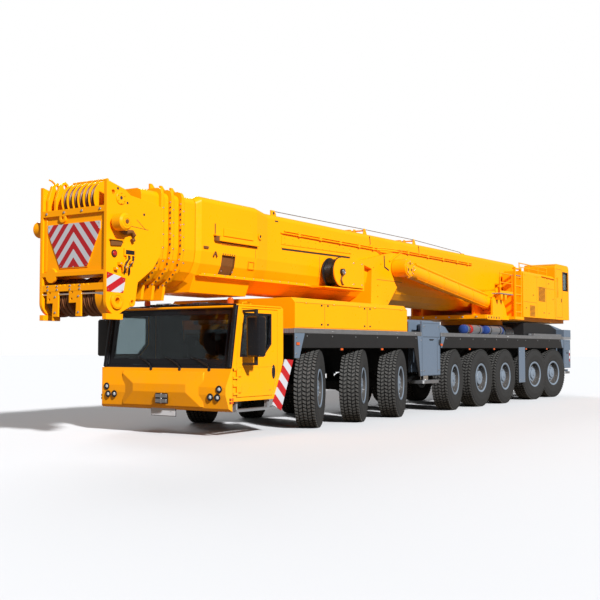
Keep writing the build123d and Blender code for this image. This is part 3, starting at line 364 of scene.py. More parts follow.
shade_brown = moulded("shaded recess", (0.16, 0.055, 0.006, 1.0), roughness=0.7, dust=0.0)
bare_steel = metal("bare steel", (0.62, 0.63, 0.65, 1.0), 0.32)
chrome = metal("chrome", (0.86, 0.87, 0.89, 1.0), 0.12, scratches=0.0)
cast_aluminium = metal("cast aluminium", (0.42, 0.43, 0.45, 1.0), 0.5)
rope_steel = metal("rope steel", (0.30, 0.29, 0.28, 1.0), 0.5)
deck_aluminium = tread_plate("deck aluminium")
rubber = tyre_rubber("tyre rubber")
window_glass = clear_glass("window glass", (0.38, 0.45, 0.47, 1.0))
clear_lens = lamp_lens("clear lens", (0.55, 0.57, 0.60, 1.0))
red_lens = lamp_lens("red lens", (0.40, 0.006, 0.008, 1.0))
orange_lens = lamp_lens("orange lens", (0.62, 0.09, 0.004, 1.0))
chevron_sheet = striped("chevron sheet", (0, 1.15, 1), 0.268)
head_sheet = striped("head stripe sheet", (0.55, 0, 1), 0.24)
guard_sheet = striped("guard stripe sheet", (-0.9, 0, 1), 0.37)
tank_blue = painted("tank blue", (0.02, 0.05, 0.20, 1.0), (0.10, 0.16, 0.36, 1.0), dust=0.0)
tank_red = painted("tank red", (0.34, 0.010, 0.008, 1.0), (0.50, 0.10, 0.08, 1.0), dust=0.0)

FINISHES = {
    "tyre": rubber,
    "grey_steel": painted_underside_shade,
    "grey_paint": grey_paint,
    "bare_steel": chrome,
    "deck_aluminium": deck_aluminium,
    "black_plastic": black_plastic,
    "yellow_paint": yellow_paint,
    "glass": window_glass,
    "dark_trim": dark_trim,
    "sheave_plastic": sheave_plastic,
}


def dress_nodes():
    """Every CAD node takes the finish of its material slot."""
    for entry in frame["record"]["subparts"]:
        mesh = nodes[entry["node"]].data
        mesh.materials.clear()
        mesh.materials.append(FINISHES[entry["material_slot"]])


def repaint(node, material, chosen):
    """The faces of a CAD node that are chosen by their centre and normal take another finish."""
    mesh = nodes[node].data
    mesh.materials.append(material)
    index = len(mesh.materials) - 1
    for face in mesh.polygons:
        if chosen(face.center, face.normal):
            face.material_index = index


def repaint_all():
    """Finishes that change within a node: lamps, dark insides, black window surrounds, marked panels, and painted
    shade on the chassis frame under the deck and in the collar pocket.
    """
    repaint("glass_and_lamps", clear_lens, lambda c, n: c.x > 8.1 and c.z < 1.1)
    repaint("glass_and_lamps", red_lens, lambda c, n: c.x < -9.0)
    repaint("cab_shell", dark_trim, lambda c, n: abs(c.y) < 1.43 and c.x > 6.7 and 0.67 < c.z < 2.22)
    repaint("cab_shell", gloss_black, lambda c, n: n.x > 0.9 and c.x > 7.95 and c.z > 1.15)
    for side_name in ("left", "right"):
        repaint("cab_door_" + side_name, dark_trim, lambda c, n: abs(c.y) < 1.425)
        repaint("cab_door_" + side_name, black_plastic, lambda c, n: abs(c.y) > 1.525)
        for end in ("front", "rear"):
            repaint(f"outrigger_jack_{end}_{side_name}", cast_aluminium, lambda c, n: c.z < 0.80)
    repaint("crane_cab", dark_trim, lambda c, n: 0.47 < c.y < 1.41 and -9.9 < c.x < -8.6 and 2.47 < c.z < 4.16)
    repaint("mudguards", guard_sheet, lambda c, n: c.x > 6.36 and c.z < 1.32)
    # Painted shade: the low inner faces of the chassis frame under the deck take the near-black underside paint
    repaint("chassis_frame", painted_underside_shade, lambda c, n: c.z < 1.79 and abs(c.y) < 1.0 and -9.1 < c.x < 6.4)
    repaint("chassis_frame", black_plastic, lambda c, n: c.z > 1.885 and -9.21 < c.x < -4.2)
    repaint("boom_head", chrome, lambda c, n: 10.33 < c.x < 10.372 and 2.35 < c.z < 2.39)
    repaint("boom_base", shade_brown, lambda c, n: 7.12 < c.x < 7.53 and 2.82 < c.z < 3.19 and abs(c.y) < 0.744)
    repaint("luffing_rods", yellow_paint, lambda c, n: c.x > 0.83)


dress_nodes()
repaint_all()


# Mesh building
class Shape:
    """The faces of one piece, gathered before it becomes an object."""

    def __init__(self):
        self.mesh = bmesh.new()

    def place(self, points):
        return [self.mesh.verts.new(point) for point in points]

    def quads(self, ring, following, slot):
        """Faces between two rings of points that match one to one."""
        for i in range(len(ring)):
            j = (i + 1) % len(ring)
            self.mesh.faces.new((ring[i], ring[j], following[j], following[i])).material_index = slot

    def skin(self, rings, slot):
        """A closed solid through rings of points, with its two ends."""
        for end in (rings[0][::-1], rings[-1]):
            self.mesh.faces.new(end).material_index = slot
        for ring, following in zip(rings, rings[1:]):
            self.quads(ring, following, slot)

    def turned_rings(self, profile, centre, axis, sides, start=0.0):
        """A ring of points about an axis for each (radius, distance), turned on by start sides."""
        turn = Vector(axis).to_track_quat("Z", "Y").to_matrix()
        angles = [2 * math.pi * (i + start) / sides for i in range(sides)]
        rings = []
        for radius, along in profile:
            spots = [Vector((radius * math.cos(a), radius * math.sin(a), along)) for a in angles]
            rings.append(self.place(Vector(centre) + turn @ spot for spot in spots))
        return rings

    def prism(self, low, high, slot=0):
        """A closed solid between two rings of points that match one to one."""
        self.skin([self.place(low), self.place(high)], slot)

    def side(self, outline, y_low, y_high, slot=0):
        """A plate with its outline in X and Z."""
        self.prism([(x, y_low, z) for x, z in outline], [(x, y_high, z) for x, z in outline], slot)

    def front(self, outline, x_low, x_high, slot=0):
        """A plate with its outline in Y and Z."""
        self.prism([(x_low, y, z) for y, z in outline], [(x_high, y, z) for y, z in outline], slot)

    def box(self, low, high, slot=0):
        corners = [(low[0], low[1]), (high[0], low[1]), (high[0], high[1]), (low[0], high[1])]
        self.prism([(x, y, low[2]) for x, y in corners], [(x, y, high[2]) for x, y in corners], slot)

    def frame(self, outer, inner, y_low, y_high, slot=0):
        """A plate with a hole: two outlines in X and Z that match one to one."""
        rings = []
        for outline, y in ((outer, y_low), (outer, y_high), (inner, y_high), (inner, y_low)):
            rings.append(self.place((x, y, z) for x, z in outline))
        for ring, following in zip(rings, rings[1:] + rings[:1]):
            self.quads(ring, following, slot)

    def strip(self, start, end, width, y_low, y_high, slot=0):
        """A thin straight strip on a side face, from start to end in X and Z."""
        ahead = (Vector(end) - Vector(start)).normalized()
        off = Vector((-ahead.y, ahead.x)) * width / 2
        corners = [Vector(start) - off, Vector(end) - off, Vector(end) + off, Vector(start) + off]
        self.side([tuple(corner) for corner in corners], y_low, y_high, slot)

    def seam(self, start, end, width, face, slot=1):
        """A dark line on a side face where two panels meet."""
        self.strip(start, end, width, face - 0.001, face + 0.0015, slot)

    def to_right(self):
        """Moves everything gathered so far to the other side."""
        for vert in self.mesh.verts:
            vert.co.y = -vert.co.y

    def mirror(self):
        """Adds the mirror image of everything gathered so far on the other side."""
        found = self.mesh.verts[:] + self.mesh.edges[:] + self.mesh.faces[:]
        for part in bmesh.ops.duplicate(self.mesh, geom=found)["geom"]:
            if isinstance(part, bmesh.types.BMVert):
                part.co.y = -part.co.y

    def lathe(self, profile, centre, axis, sides=32, slot=0, slots=None):
        """A closed outline of (radius, distance) turned about an axis; slots gives each stretch its own finish."""
        rings = self.turned_rings(profile, centre, axis, sides)
        for k, (ring, following) in enumerate(zip(rings, rings[1:] + rings[:1])):
            self.quads(ring, following, slots[k] if slots else slot)

    def washer(self, inner, outer, thick, centre, axis, sides=32, slot=0):
        """A flat ring from centre along axis."""
        self.lathe([(inner, 0), (outer, 0), (outer, thick), (inner, thick)], centre, axis, sides, slot)

    def disc(self, centre, axis, radius, length, sides=24, slot=0):
        """A round bar from centre along axis, with its edge broken."""
        edge = min(radius, length) * 0.15
        profile = [(radius - edge, 0.0), (radius, edge), (radius, length - edge), (radius - edge, length)]
        self.skin(self.turned_rings(profile, centre, axis, sides, 0.5), slot)

    def bolt(self, centre, axis, radius=0.022, slot=0):
        """A hexagon head on its washer."""
        self.disc(centre, axis, radius * 1.35, radius * 0.25, 12, slot)
        self.disc(Vector(centre) + Vector(axis).normalized() * radius * 0.22, axis, radius, radius * 0.8, 6, slot)

    def bolt_circle(self, centre, axis, count, reach, radius, slot=0, start=0.0):
        """Bolts round a point on a side face."""
        for i in range(count):
            angle = 2 * math.pi * (i + start) / count
            spot = (centre[0] + reach * math.cos(angle), centre[1], centre[2] + reach * math.sin(angle))
            self.bolt(spot, axis, radius, slot)

    def tube(self, points, radius, sides=10, slot=0):
        """A round tube through points, its corners mitred."""
        path = [Vector(point) for point in points]
        rings = []
        up = Vector((0.013, 0.021, 1.0))
        for i, spot in enumerate(path):
            before = (spot - path[max(i - 1, 0)]).normalized() if i else (path[1] - spot).normalized()
            after = (path[i + 1] - spot).normalized() if i + 1 < len(path) else before
            ahead = (before + after).normalized()
            if abs(ahead.dot(up)) > 0.97 * up.length:
                up = Vector((1.0, 0.013, 0.021))
            across = ahead.cross(up).normalized()
            over = across.cross(ahead)
            angles = [2 * math.pi * k / sides for k in range(sides)]
            rings.append(self.place(spot + radius * (math.cos(a) * across + math.sin(a) * over) for a in angles))
        self.skin(rings, slot)

    def to_mesh(self, name, materials, smooth_angle=35):
        bmesh.ops.recalc_face_normals(self.mesh, faces=self.mesh.faces)
        mesh = bpy.data.meshes.new(name)
        self.mesh.to_mesh(mesh)
        self.mesh.free()
        for material in materials:
            mesh.materials.append(material)
        mesh.polygons.foreach_set("use_smooth", [True] * len(mesh.polygons))
        mesh.set_sharp_from_angle(angle=math.radians(smooth_angle))
        return mesh


def add_piece(name, shape, materials, body, bevel=0.0):
    """Turns a gathered shape into an object that rides on a body."""
    piece = bpy.data.objects.new(name, shape.to_mesh(name, materials))
    bpy.context.scene.collection.objects.link(piece)
    if bevel:
        edge = piece.modifiers.new("edge", "BEVEL")
        edge.width = bevel
        edge.segments = 2
        edge.limit_method = "ANGLE"
    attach(piece, body)
    return piece


def inset(outline, width):
    """A convex outline drawn in by width on all sides."""
    points = [Vector(point) for point in outline]
    area = sum(a.x * b.y - b.x * a.y for a, b in zip(points, points[1:] + points[:1]))
    turn = 1 if area > 0 else -1
    drawn_in = []
    for before, here, after in zip(points[-1:] + points[:-1], points, points[1:] + points[:1]):
        first = (here - before).normalized()
        second = (after - here).normalized()
        left = Vector((-first.y, first.x)) * turn
        right = Vector((-second.y, second.x)) * turn
        drawn_in.append(tuple(here + (left + right) * width / (1 + left.dot(right))))
    return drawn_in


def oval(centre, across, high, count=24):
    angles = [2 * math.pi * i / count for i in range(count)]
    return [(centre[0] + across * math.cos(a), centre[1] + high * math.sin(a)) for a in angles]


def rectangle(low, high):
    return [(low[0], low[1]), (high[0], low[1]), (high[0], high[1]), (low[0], high[1])]


# Wheels: tyre with its tread blocks, painted rim, nuts and hub
TREAD_PITCHES = 58
TREAD_ROWS = (-0.162, -0.081, 0.0, 0.081, 0.162)
TREAD_DEPTH = 0.021
BLOCK_WIDTH = 0.064
WHEEL_NUTS = 10
FLAT_HUB_AXLES = (1, 2, 3, 4, 5)


def mirrored_profile(half):
    """A closed outline from its half on the +Y side."""
    return half + [(radius, -along) for radius, along in reversed(half)]


def tyre_point(radius, angle, y):
    return (radius * math.cos(angle), y, radius * math.sin(angle))


def add_tread_block(shape, angle, length, y_low, y_high, slant, base, top):
    """One rubber block standing on the tyre; its ends lean over by slant."""
    corners = [(0.0, y_low), (length, y_low), (length + slant, y_high), (slant, y_high)]
    foot = [tyre_point(base, angle + s / TYRE_RADIUS, y) for s, y in corners]
    draft = 0.004
    middle_s = (length + slant) / 2
    middle_y = (y_low + y_high) / 2
    crown = []
    for s, y in corners:
        s_in = s + math.copysign(draft, middle_s - s)
        y_in = y + math.copysign(draft, middle_y - y)
        crown.append(tyre_point(top, angle + s_in / TYRE_RADIUS, y_in))
    shape.prism(foot, crown)


def add_tread(shape):
    pitch = 2 * math.pi / TREAD_PITCHES
    length = 0.66 * pitch * TYRE_RADIUS
    base = TYRE_RADIUS - TREAD_DEPTH - 0.004
    for i in range(TREAD_PITCHES):
        for row, y in enumerate(TREAD_ROWS):
            slant = 0.026 if row % 2 else -0.026
            angle = pitch * (i + 0.5 * (row % 2))
            add_tread_block(shape, angle, length, y - BLOCK_WIDTH / 2, y + BLOCK_WIDTH / 2, slant, base, TYRE_RADIUS)
        for side in SIDES:
            start = pitch * (i + 0.02)
            inner, outer = sorted((side * 0.186, side * 0.208))
            add_tread_block(shape, start, length * 0.8, inner, outer, 0.0, TYRE_RADIUS - 0.075, TYRE_RADIUS - 0.022)


def make_wheel_mesh(name, planetary):
    """One wheel about its own centre, outer face towards +Y."""
    shape = Shape()
    side_wall = [
        (0.322, 0.150), (0.345, 0.176), (0.392, 0.186), (0.430, 0.203), (0.442, 0.206), (0.452, 0.205),
        (0.505, 0.217), (0.560, TYRE_HALF), (0.598, TYRE_HALF - 0.001), (0.604, TYRE_HALF - 0.004),
        (0.650, 0.214), (0.690, 0.205), (0.712, 0.194), (0.722, 0.176), (0.7225, 0.09),
    ]
    turn_axis = Y_AXIS
    shape.lathe(mirrored_profile(side_wall), ORIGIN, turn_axis, 72)
    add_tread(shape)
    hub = [(0.185, 0.072), (0.180, 0.138), (0.166, 0.152), (0.070, 0.155)]
    if planetary:
        hub = [(0.212, 0.072), (0.206, 0.100), (0.150, 0.108), (0.140, 0.146), (0.122, 0.153), (0.060, 0.156)]
    rim = [
        (0.294, -0.200), (0.366, -0.200), (0.376, -0.192), (0.370, -0.178), (0.319, -0.172), (0.312, 0.0),
        (0.319, 0.172), (0.370, 0.178), (0.376, 0.192), (0.366, 0.200), (0.340, 0.199), (0.322, 0.188),
        (0.304, 0.150), (0.288, 0.096), (0.266, 0.070), (0.222, 0.062), *hub, (0.002, hub[-1][1]),
        (0.002, 0.118), (0.128, 0.112), (0.128, 0.022), (0.205, 0.022), (0.276, 0.042), (0.288, -0.100),
    ]
    # The rim's dish from the flange in to the hub takes the near-black underside paint: painted shade in the rim well
    recess = range(11, 16)
    slots = [3 if k in recess else 1 for k in range(len(rim))]
    shape.lathe(rim, ORIGIN, turn_axis, 64, slots=slots)
    for i in range(WHEEL_NUTS):
        angle = 2 * math.pi * i / WHEEL_NUTS
        shape.bolt(tyre_point(0.243, angle, 0.064), turn_axis, 0.019, 2)
        shape.disc(tyre_point(0.300, angle + math.pi / WHEEL_NUTS, 0.120), turn_axis, 0.010, 0.012, 8, 2)
    cap_bolts = 5 if planetary else 12
    for i in range(cap_bolts):
        angle = 2 * math.pi * i / cap_bolts
        if planetary:
            shape.disc(tyre_point(0.176, angle, 0.100), turn_axis, 0.030, 0.022, 16, 1)
            shape.bolt(tyre_point(0.176, angle, 0.120), turn_axis, 0.013, 2)
        else:
            shape.bolt(tyre_point(0.150, angle, 0.150), turn_axis, 0.010, 2)
    shape.disc((0, hub[-1][1] - 0.002, 0), turn_axis, 0.045, 0.016, 20, 1)
    return shape.to_mesh(name, [rubber, rim_paint, cast_aluminium, painted_underside_shade])


def add_wheels():
    meshes = {planetary: make_wheel_mesh("wheel_mesh", planetary) for planetary in (False, True)}
    for number in range(1, 9):
        for side_name, side in SIDE_NAMES:
            joint = joints[f"spin_{number}_{side_name}"]
            outward = Vector(joint["axis"])
            if outward.y * side < 0:
                outward = -outward
            ahead = outward.cross(Vector(Z_AXIS))
            wheel = bpy.data.objects.new(f"treaded_wheel_{number}_{side_name}", meshes[number not in FLAT_HUB_AXLES])
            bpy.context.scene.collection.objects.link(wheel)
            turn = Matrix((ahead, outward, Vector(Z_AXIS))).transposed()
            wheel.matrix_world = Matrix.Translation(Vector(joint["pos_m"])) @ turn.to_4x4()
            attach(wheel, f"wheel_{number}_{side_name}")
            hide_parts(f"wheel_{number}_{side_name}")


add_wheels()


# Boom head: marked sheets, shaft ends, fittings on the cheeks
HEAD_BODY = "section_3"
CHEEK_Y = 0.745
GUARD_X = 10.374


def add_head_sheets():
    shield = [(-0.588, 3.488), (0.588, 3.488), (0.588, 3.374), (0.304, 2.794), (-0.304, 2.794), (-0.588, 3.374)]
    shape = Shape()
    shape.front(shield, 10.3525, 10.3565)
    for y, z in inset(shield, 0.03):
        shape.disc((10.356, y, z), X_AXIS, 0.009, 0.004, 10, 1)
    add_piece("shield_sheet", shape, [chevron_sheet, bare_steel], HEAD_BODY)
    cheek = [(10.368, 2.689), (9.962, 2.608), (10.012, 2.378), (10.366, 2.386)]
    shape = Shape()
    shape.side(cheek, CHEEK_Y, CHEEK_Y + 0.005)
    for x, z in inset(cheek, 0.035):
        shape.disc((x, CHEEK_Y + 0.004, z), Y_AXIS, 0.009, 0.004, 10, 1)
    shape.mirror()
    add_piece("cheek_sheets", shape, [head_sheet, bare_steel], HEAD_BODY)


def add_head_pins():
    """Shaft ends with their keeper plates, and the pins of the rope guards."""
    shape = Shape()
    keeper = [(0.030, 0), (0.105, 0), (0.105, 0.010), (0.098, 0.016), (0.030, 0.016)]
    shaft = (10.080, CHEEK_Y, 3.860)
    shape.lathe(keeper, shaft, Y_AXIS)
    shape.disc(shaft, Y_AXIS, 0.032, 0.012, 20, 1)
    shape.bolt_circle((10.080, CHEEK_Y + 0.015, 3.860), Y_AXIS, 6, 0.080, 0.011, 0, 0.5)
    for x, z in ((10.144, 4.003), (10.150, 3.818), (9.93, 3.80), (9.55, 3.66)):
        shape.disc((x, CHEEK_Y - 0.004, z), Y_AXIS, 0.022, 0.007, 18, 1)
    for x, y, z, rim in ((10.166, 0.783, 2.25, 0.112), (9.81, CHEEK_Y, 2.24, 0.066)):
        shape.washer(rim - 0.03, rim, 0.008, (x, y, z), Y_AXIS)
    shape.mirror()
    add_piece("shaft_ends", shape, [yellow_paint, seam_shadow, bare_steel], HEAD_BODY)
    shape = Shape()
    for y in (-0.56, -0.345, -0.05, 0.165):
        for z in (2.445, 2.500):
            shape.bolt((GUARD_X - 0.001, y, z), X_AXIS, 0.014)
    for y in (-0.385, 0.14):
        for z in (2.33, 2.08):
            shape.bolt((GUARD_X - 0.001, y, z), X_AXIS, 0.014)
    for y in (-0.6, -0.2, 0.2, 0.6):
        shape.bolt((10.379, y, 3.67), X_AXIS, 0.016)
    add_piece("guard_bolts", shape, [cast_aluminium], HEAD_BODY)


def add_head_fittings():
    """Socket box, lamp, bracket and hoses on the left cheek; the right cheek carries its bracket and hoses too."""
    for side_name, side in SIDE_NAMES:
        shape = Shape()
        box = rectangle((9.769, 2.962), (10.010, 3.079))
        shape.side(box, CHEEK_Y, 0.772)
        shape.side(inset(box, 0.026), 0.771, 0.778, 1)
        shape.side([(10.311, 3.186), (10.055, 3.190), (10.075, 3.112), (10.300, 3.098)], CHEEK_Y, 0.775, 2)
        shape.side([(10.330, 3.200), (10.040, 3.204), (10.040, 3.188), (10.330, 3.184)], CHEEK_Y, 0.800)
        shape.washer(0.040, 0.056, 0.020, (10.22, CHEEK_Y, 2.981), Y_AXIS, 24, 1)
        lens = [(0.001, 0), (0.041, 0), (0.041, 0.022), (0.030, 0.036), (0.001, 0.040)]
        shape.lathe(lens, (10.22, CHEEK_Y, 2.981), Y_AXIS, 24, 3)
        # A hook-shaped tube under the roller in the painted-shade brown, placed where the roller's shadow falls
        hook = [(10.12, 3.36), (10.02, 3.31), (9.93, 3.34), (9.86, 3.345)]
        hook += [(9.815, 3.29), (9.825, 3.225), (9.865, 3.205)]
        shape.tube([(x, 0.785, z) for x, z in hook], 0.034, 12, 2)
        for start, drop in ((9.96, 0.0), (9.92, -0.02), (9.87, 0.01), (9.82, -0.03)):
            hose = [(start, 0.772, 2.966), (start + 0.01, 0.792, 2.91)]
            for off, y, z in ((0.07, 0.796, 2.86), (0.11, 0.796, 2.80), (0.10, 0.792, 2.74), (0.08, 0.760, 2.70)):
                hose.append((start + off, y, z + drop))
            shape.tube(hose, 0.014, 8, 1 if drop < 0 else 0)
        for x, z in ((10.11, 2.83), (9.99, 2.78), (9.86, 2.86), (10.20, 2.745)):
            shape.box((x - 0.03, CHEEK_Y, z - 0.022), (x + 0.03, 0.806, z + 0.022))
            shape.bolt((x, 0.805, z), Y_AXIS, 0.010, 4)
        shape.strip((9.72, 3.56), (9.52, 3.425), 0.008, CHEEK_Y, CHEEK_Y + 0.002, 2)
        shape.strip((10.02, 3.452), (9.45, 3.420), 0.008, CHEEK_Y, CHEEK_Y + 0.002, 2)
        shape.washer(0.05, 0.075, 0.006, (10.2, 0.999, 3.46), Y_AXIS, 24, 0)
        shape.disc((10.2, 0.992, 3.46), Y_AXIS, 0.034, 0.020, 16, 2)
        if side < 0:
            shape.to_right()
        finishes = [yellow_paint, lamp_black, shade_brown, red_lens, bare_steel]
        add_piece("head_fittings_" + side_name, shape, finishes, HEAD_BODY)
    shape = Shape()
    shape.box((10.339, 0.615, 2.735), (10.349, 0.675, 3.610))
    shape.box((10.339, -0.675, 2.735), (10.349, -0.615, 3.610))
    shape.tube([(10.20, -0.62, 4.19), (10.27, -0.62, 4.235), (10.33, -0.60, 4.235)], 0.016, 8)
    add_piece("panel_rims", shape, [yellow_paint], HEAD_BODY, 0.003)


# Boom: section ring bolts, side doublers, pipes, collar fittings
BOOM_HALF = 0.690
BOOM_TOP = 4.110
BELLY_RADIUS = 0.640
BELLY_Z = 3.200
RIM_FRONTS = {"section_1": 8.630, "section_2": 8.890, "section_3": 9.140}


def section_edge(grow, step):
    """Places along the left half of a boom section's outline, grown by grow from the base section."""
    radius = BELLY_RADIUS + grow
    places = []
    count = int((BOOM_TOP - 0.16 - BELLY_Z) / step)
    for i in range(count + 1):
        places.append((BOOM_HALF + grow, BOOM_TOP - 0.16 - i * step))
    arc = int(radius * math.pi / 2 / step)
    for i in range(1, arc):
        angle = math.pi / 2 * i / arc
        places.append((BOOM_HALF - BELLY_RADIUS + radius * math.cos(angle), BELLY_Z - radius * math.sin(angle)))
    return places


def add_ring_bolts():
    """Bolts and dark shims on the front rims of the telescoping sections; the dark shims and every other dark bolt
    also paint the shade of the gap at each rim.
    """
    for body, x in RIM_FRONTS.items():
        shape = Shape()
        for i, (y, z) in enumerate(section_edge(0.030, 0.088)):
            if body == HEAD_BODY and z > 2.98:
                continue
            # Dark shims and every other bolt in the dark seam finish: painted shade of the gap at the rim
            if i % 3 == 2:
                shape.box((x, y - 0.012, z - 0.020), (x + 0.010, y + 0.010, z + 0.020), 1)
            else:
                shape.bolt((x, y, z), X_AXIS, 0.012, i % 2)
        shape.mirror()
        for side in SIDES:
            for j in range(5):
                shape.bolt((x - 0.05, side * 0.744, 2.95 + 0.22 * j), (0, side, 0), 0.011, 0)
        add_piece("ring_bolts_" + body, shape, [bare_steel, seam_shadow], body)


def add_boom_sides():
    shape = Shape()
    side = BOOM_HALF
    shape.side([(5.590, 3.710), (2.900, 3.722), (2.900, 3.585), (5.590, 3.550)], side, side + 0.009)
    # A dark strip just below the rail: painted shadow under the rail
    shape.strip((5.572, 3.461), (2.95, 3.500), 0.034, side, side + 0.004, 1)
    shape.strip((5.590, 3.484), (2.95, 3.523), 0.012, side, side + 0.016)
    shape.strip((4.19, 3.42), (4.19, 2.95), 0.008, side, side + 0.002, 1)
    for i in range(10):
        x = 5.48 - 0.28 * i
        shape.bolt((x, side + 0.008, 3.690), Y_AXIS, 0.011)
        shape.bolt((x, side + 0.008, 3.582 + 0.002 * i), Y_AXIS, 0.011)
    shape.strip((5.81, 3.985), (5.70, 3.985), 0.026, side, side + 0.003, 1)
    shape.side([(5.660, 4.00), (5.835, 4.00), (5.835, 4.205), (5.715, 4.205), (5.660, 4.140)], 0.590, 0.615)
    shape.disc((5.745, 0.613, 4.150), Y_AXIS, 0.030, 0.004, 16, 1)
    for x in (2.09, -0.40):
        for y in (0.560, 0.300):
            shape.side([(x - 0.13, 4.06), (x + 0.07, 4.06), (x + 0.035, 4.238), (x - 0.025, 4.238)], y, y + 0.022)
        shape.tube([(x, 0.21, 4.195), (x, 0.59, 4.195)], 0.018)
        shape.strip((x - 0.02, 4.06), (x - 0.06, 3.86), 0.014, side, side + 0.010, 1)
        shape.box((x - 0.11, side, 3.82), (x - 0.01, side + 0.03, 3.87))
    shape.mirror()
    add_piece("boom_side_plates", shape, [yellow_paint, seam_shadow], "boom")
    shape = Shape()
    for lift, reach in ((0.0, 5.62), (0.045, 5.50)):
        z = 3.775 + lift
        path = [(reach, 0.700, z), (reach - 0.08, 0.722, z), (1.75, 0.722, z), (1.60, 0.838, z)]
        path += [(0.75, 0.838, z + 0.02), (0.60, 0.722, z + 0.05), (-3.60, 0.722, z + 0.05), (-3.72, 0.700, z + 0.05)]
        shape.tube(path, 0.015, 8)
    for x in (5.0, 4.2, 3.4, 2.6, 1.95, 0.2, -0.9, -1.8, -2.7, -3.4):
        z = 3.795 if x > 1 else 3.845
        shape.box((x - 0.03, BOOM_HALF, z - 0.045), (x + 0.03, 0.744, z + 0.052), 1)
        shape.bolt((x, 0.743, z), Y_AXIS, 0.010, 1)
    shape.mirror()
    add_piece("boom_pipes", shape, [yellow_paint, yellow_paint], "boom")
    shape = Shape()
    line = [(5.745, 0.602, 4.165), (5.70, 0.602, 4.190), (2.09, 0.571, 4.222)]
    line += [(-0.40, 0.571, 4.222), (-3.2, 0.571, 4.150), (-3.35, 0.571, 4.105)]
    shape.tube(line, 0.008, 6)
    shape.box((-3.42, 0.53, 4.10), (-3.28, 0.61, 4.125), 1)
    shape.mirror()
    add_piece("boom_safety_lines", shape, [rope_steel, yellow_paint], "boom")


def add_collar_fittings():
    side = 0.745
    shape = Shape()
    # A dark strip along the underside of the collar rail: painted shadow of the rail
    shape.strip((7.640, 3.404), (6.470, 3.404), 0.016, side, side + 0.004, 1)
    shape.side([(7.62, 3.40), (7.76, 3.41), (7.75, 3.51), (7.62, 3.51)], side, 0.800, 2)
    shape.box((7.60, side, 3.50), (7.78, 0.806, 3.525))
    shape.strip((7.73, 3.53), (7.73, 3.72), 0.020, side, side + 0.008, 2)
    shape.strip((7.78, 3.13), (7.72, 3.22), 0.024, side, side + 0.02, 2)
    shape.strip((7.73, 3.22), (7.68, 3.13), 0.024, side, side + 0.02, 2)
    shape.box((7.93, side, 3.255), (8.05, 0.770, 3.295), 2)
    shape.washer(0.030, 0.058, 0.016, (6.38, side, 3.617), Y_AXIS, 24)
    shape.disc((6.38, side, 3.617), Y_AXIS, 0.031, 0.006, 16, 1)
    pocket = rectangle((7.130, 2.830), (7.520, 3.180))
    for i in range(6):
        shape.bolt((7.16 + 0.066 * i, side - 0.001, 3.200), Y_AXIS, 0.010, 2)
    for x, z in inset(pocket, 0.035):
        shape.bolt((x, 0.690, z + 0.03), Y_AXIS, 0.012, 3)
    shape.strip((7.55, 3.36), (6.55, 3.385), 0.006, side, side + 0.002, 1)
    shape.strip((6.52, 3.20), (6.52, 3.36), 0.006, side, side + 0.002, 1)
    shape.frame(rectangle((6.55, 2.99), (6.74, 3.13)), rectangle((6.565, 3.005), (6.725, 3.115)), side, side + 0.004)
    shape.side([(4.62, 2.803), (8.02, 2.803), (8.02, 2.830), (4.62, 2.830)], 0.655, 0.683)
    for i in range(12):
        shape.bolt((4.75 + 0.29 * i, 0.682, 2.816), Y_AXIS, 0.009, 3)
    shape.mirror()
    shape.side([(6.12, 4.14), (6.36, 4.212), (6.92, 4.212), (7.16, 4.16)], -0.42, 0.42)
    shape.side([(7.30, 4.15), (7.36, 4.188), (7.95, 4.188), (8.02, 4.15)], -0.30, 0.30)
    finishes = [yellow_paint, seam_shadow, shade_brown, bare_steel]
    add_piece("collar_fittings", shape, finishes, "boom", 0.002)


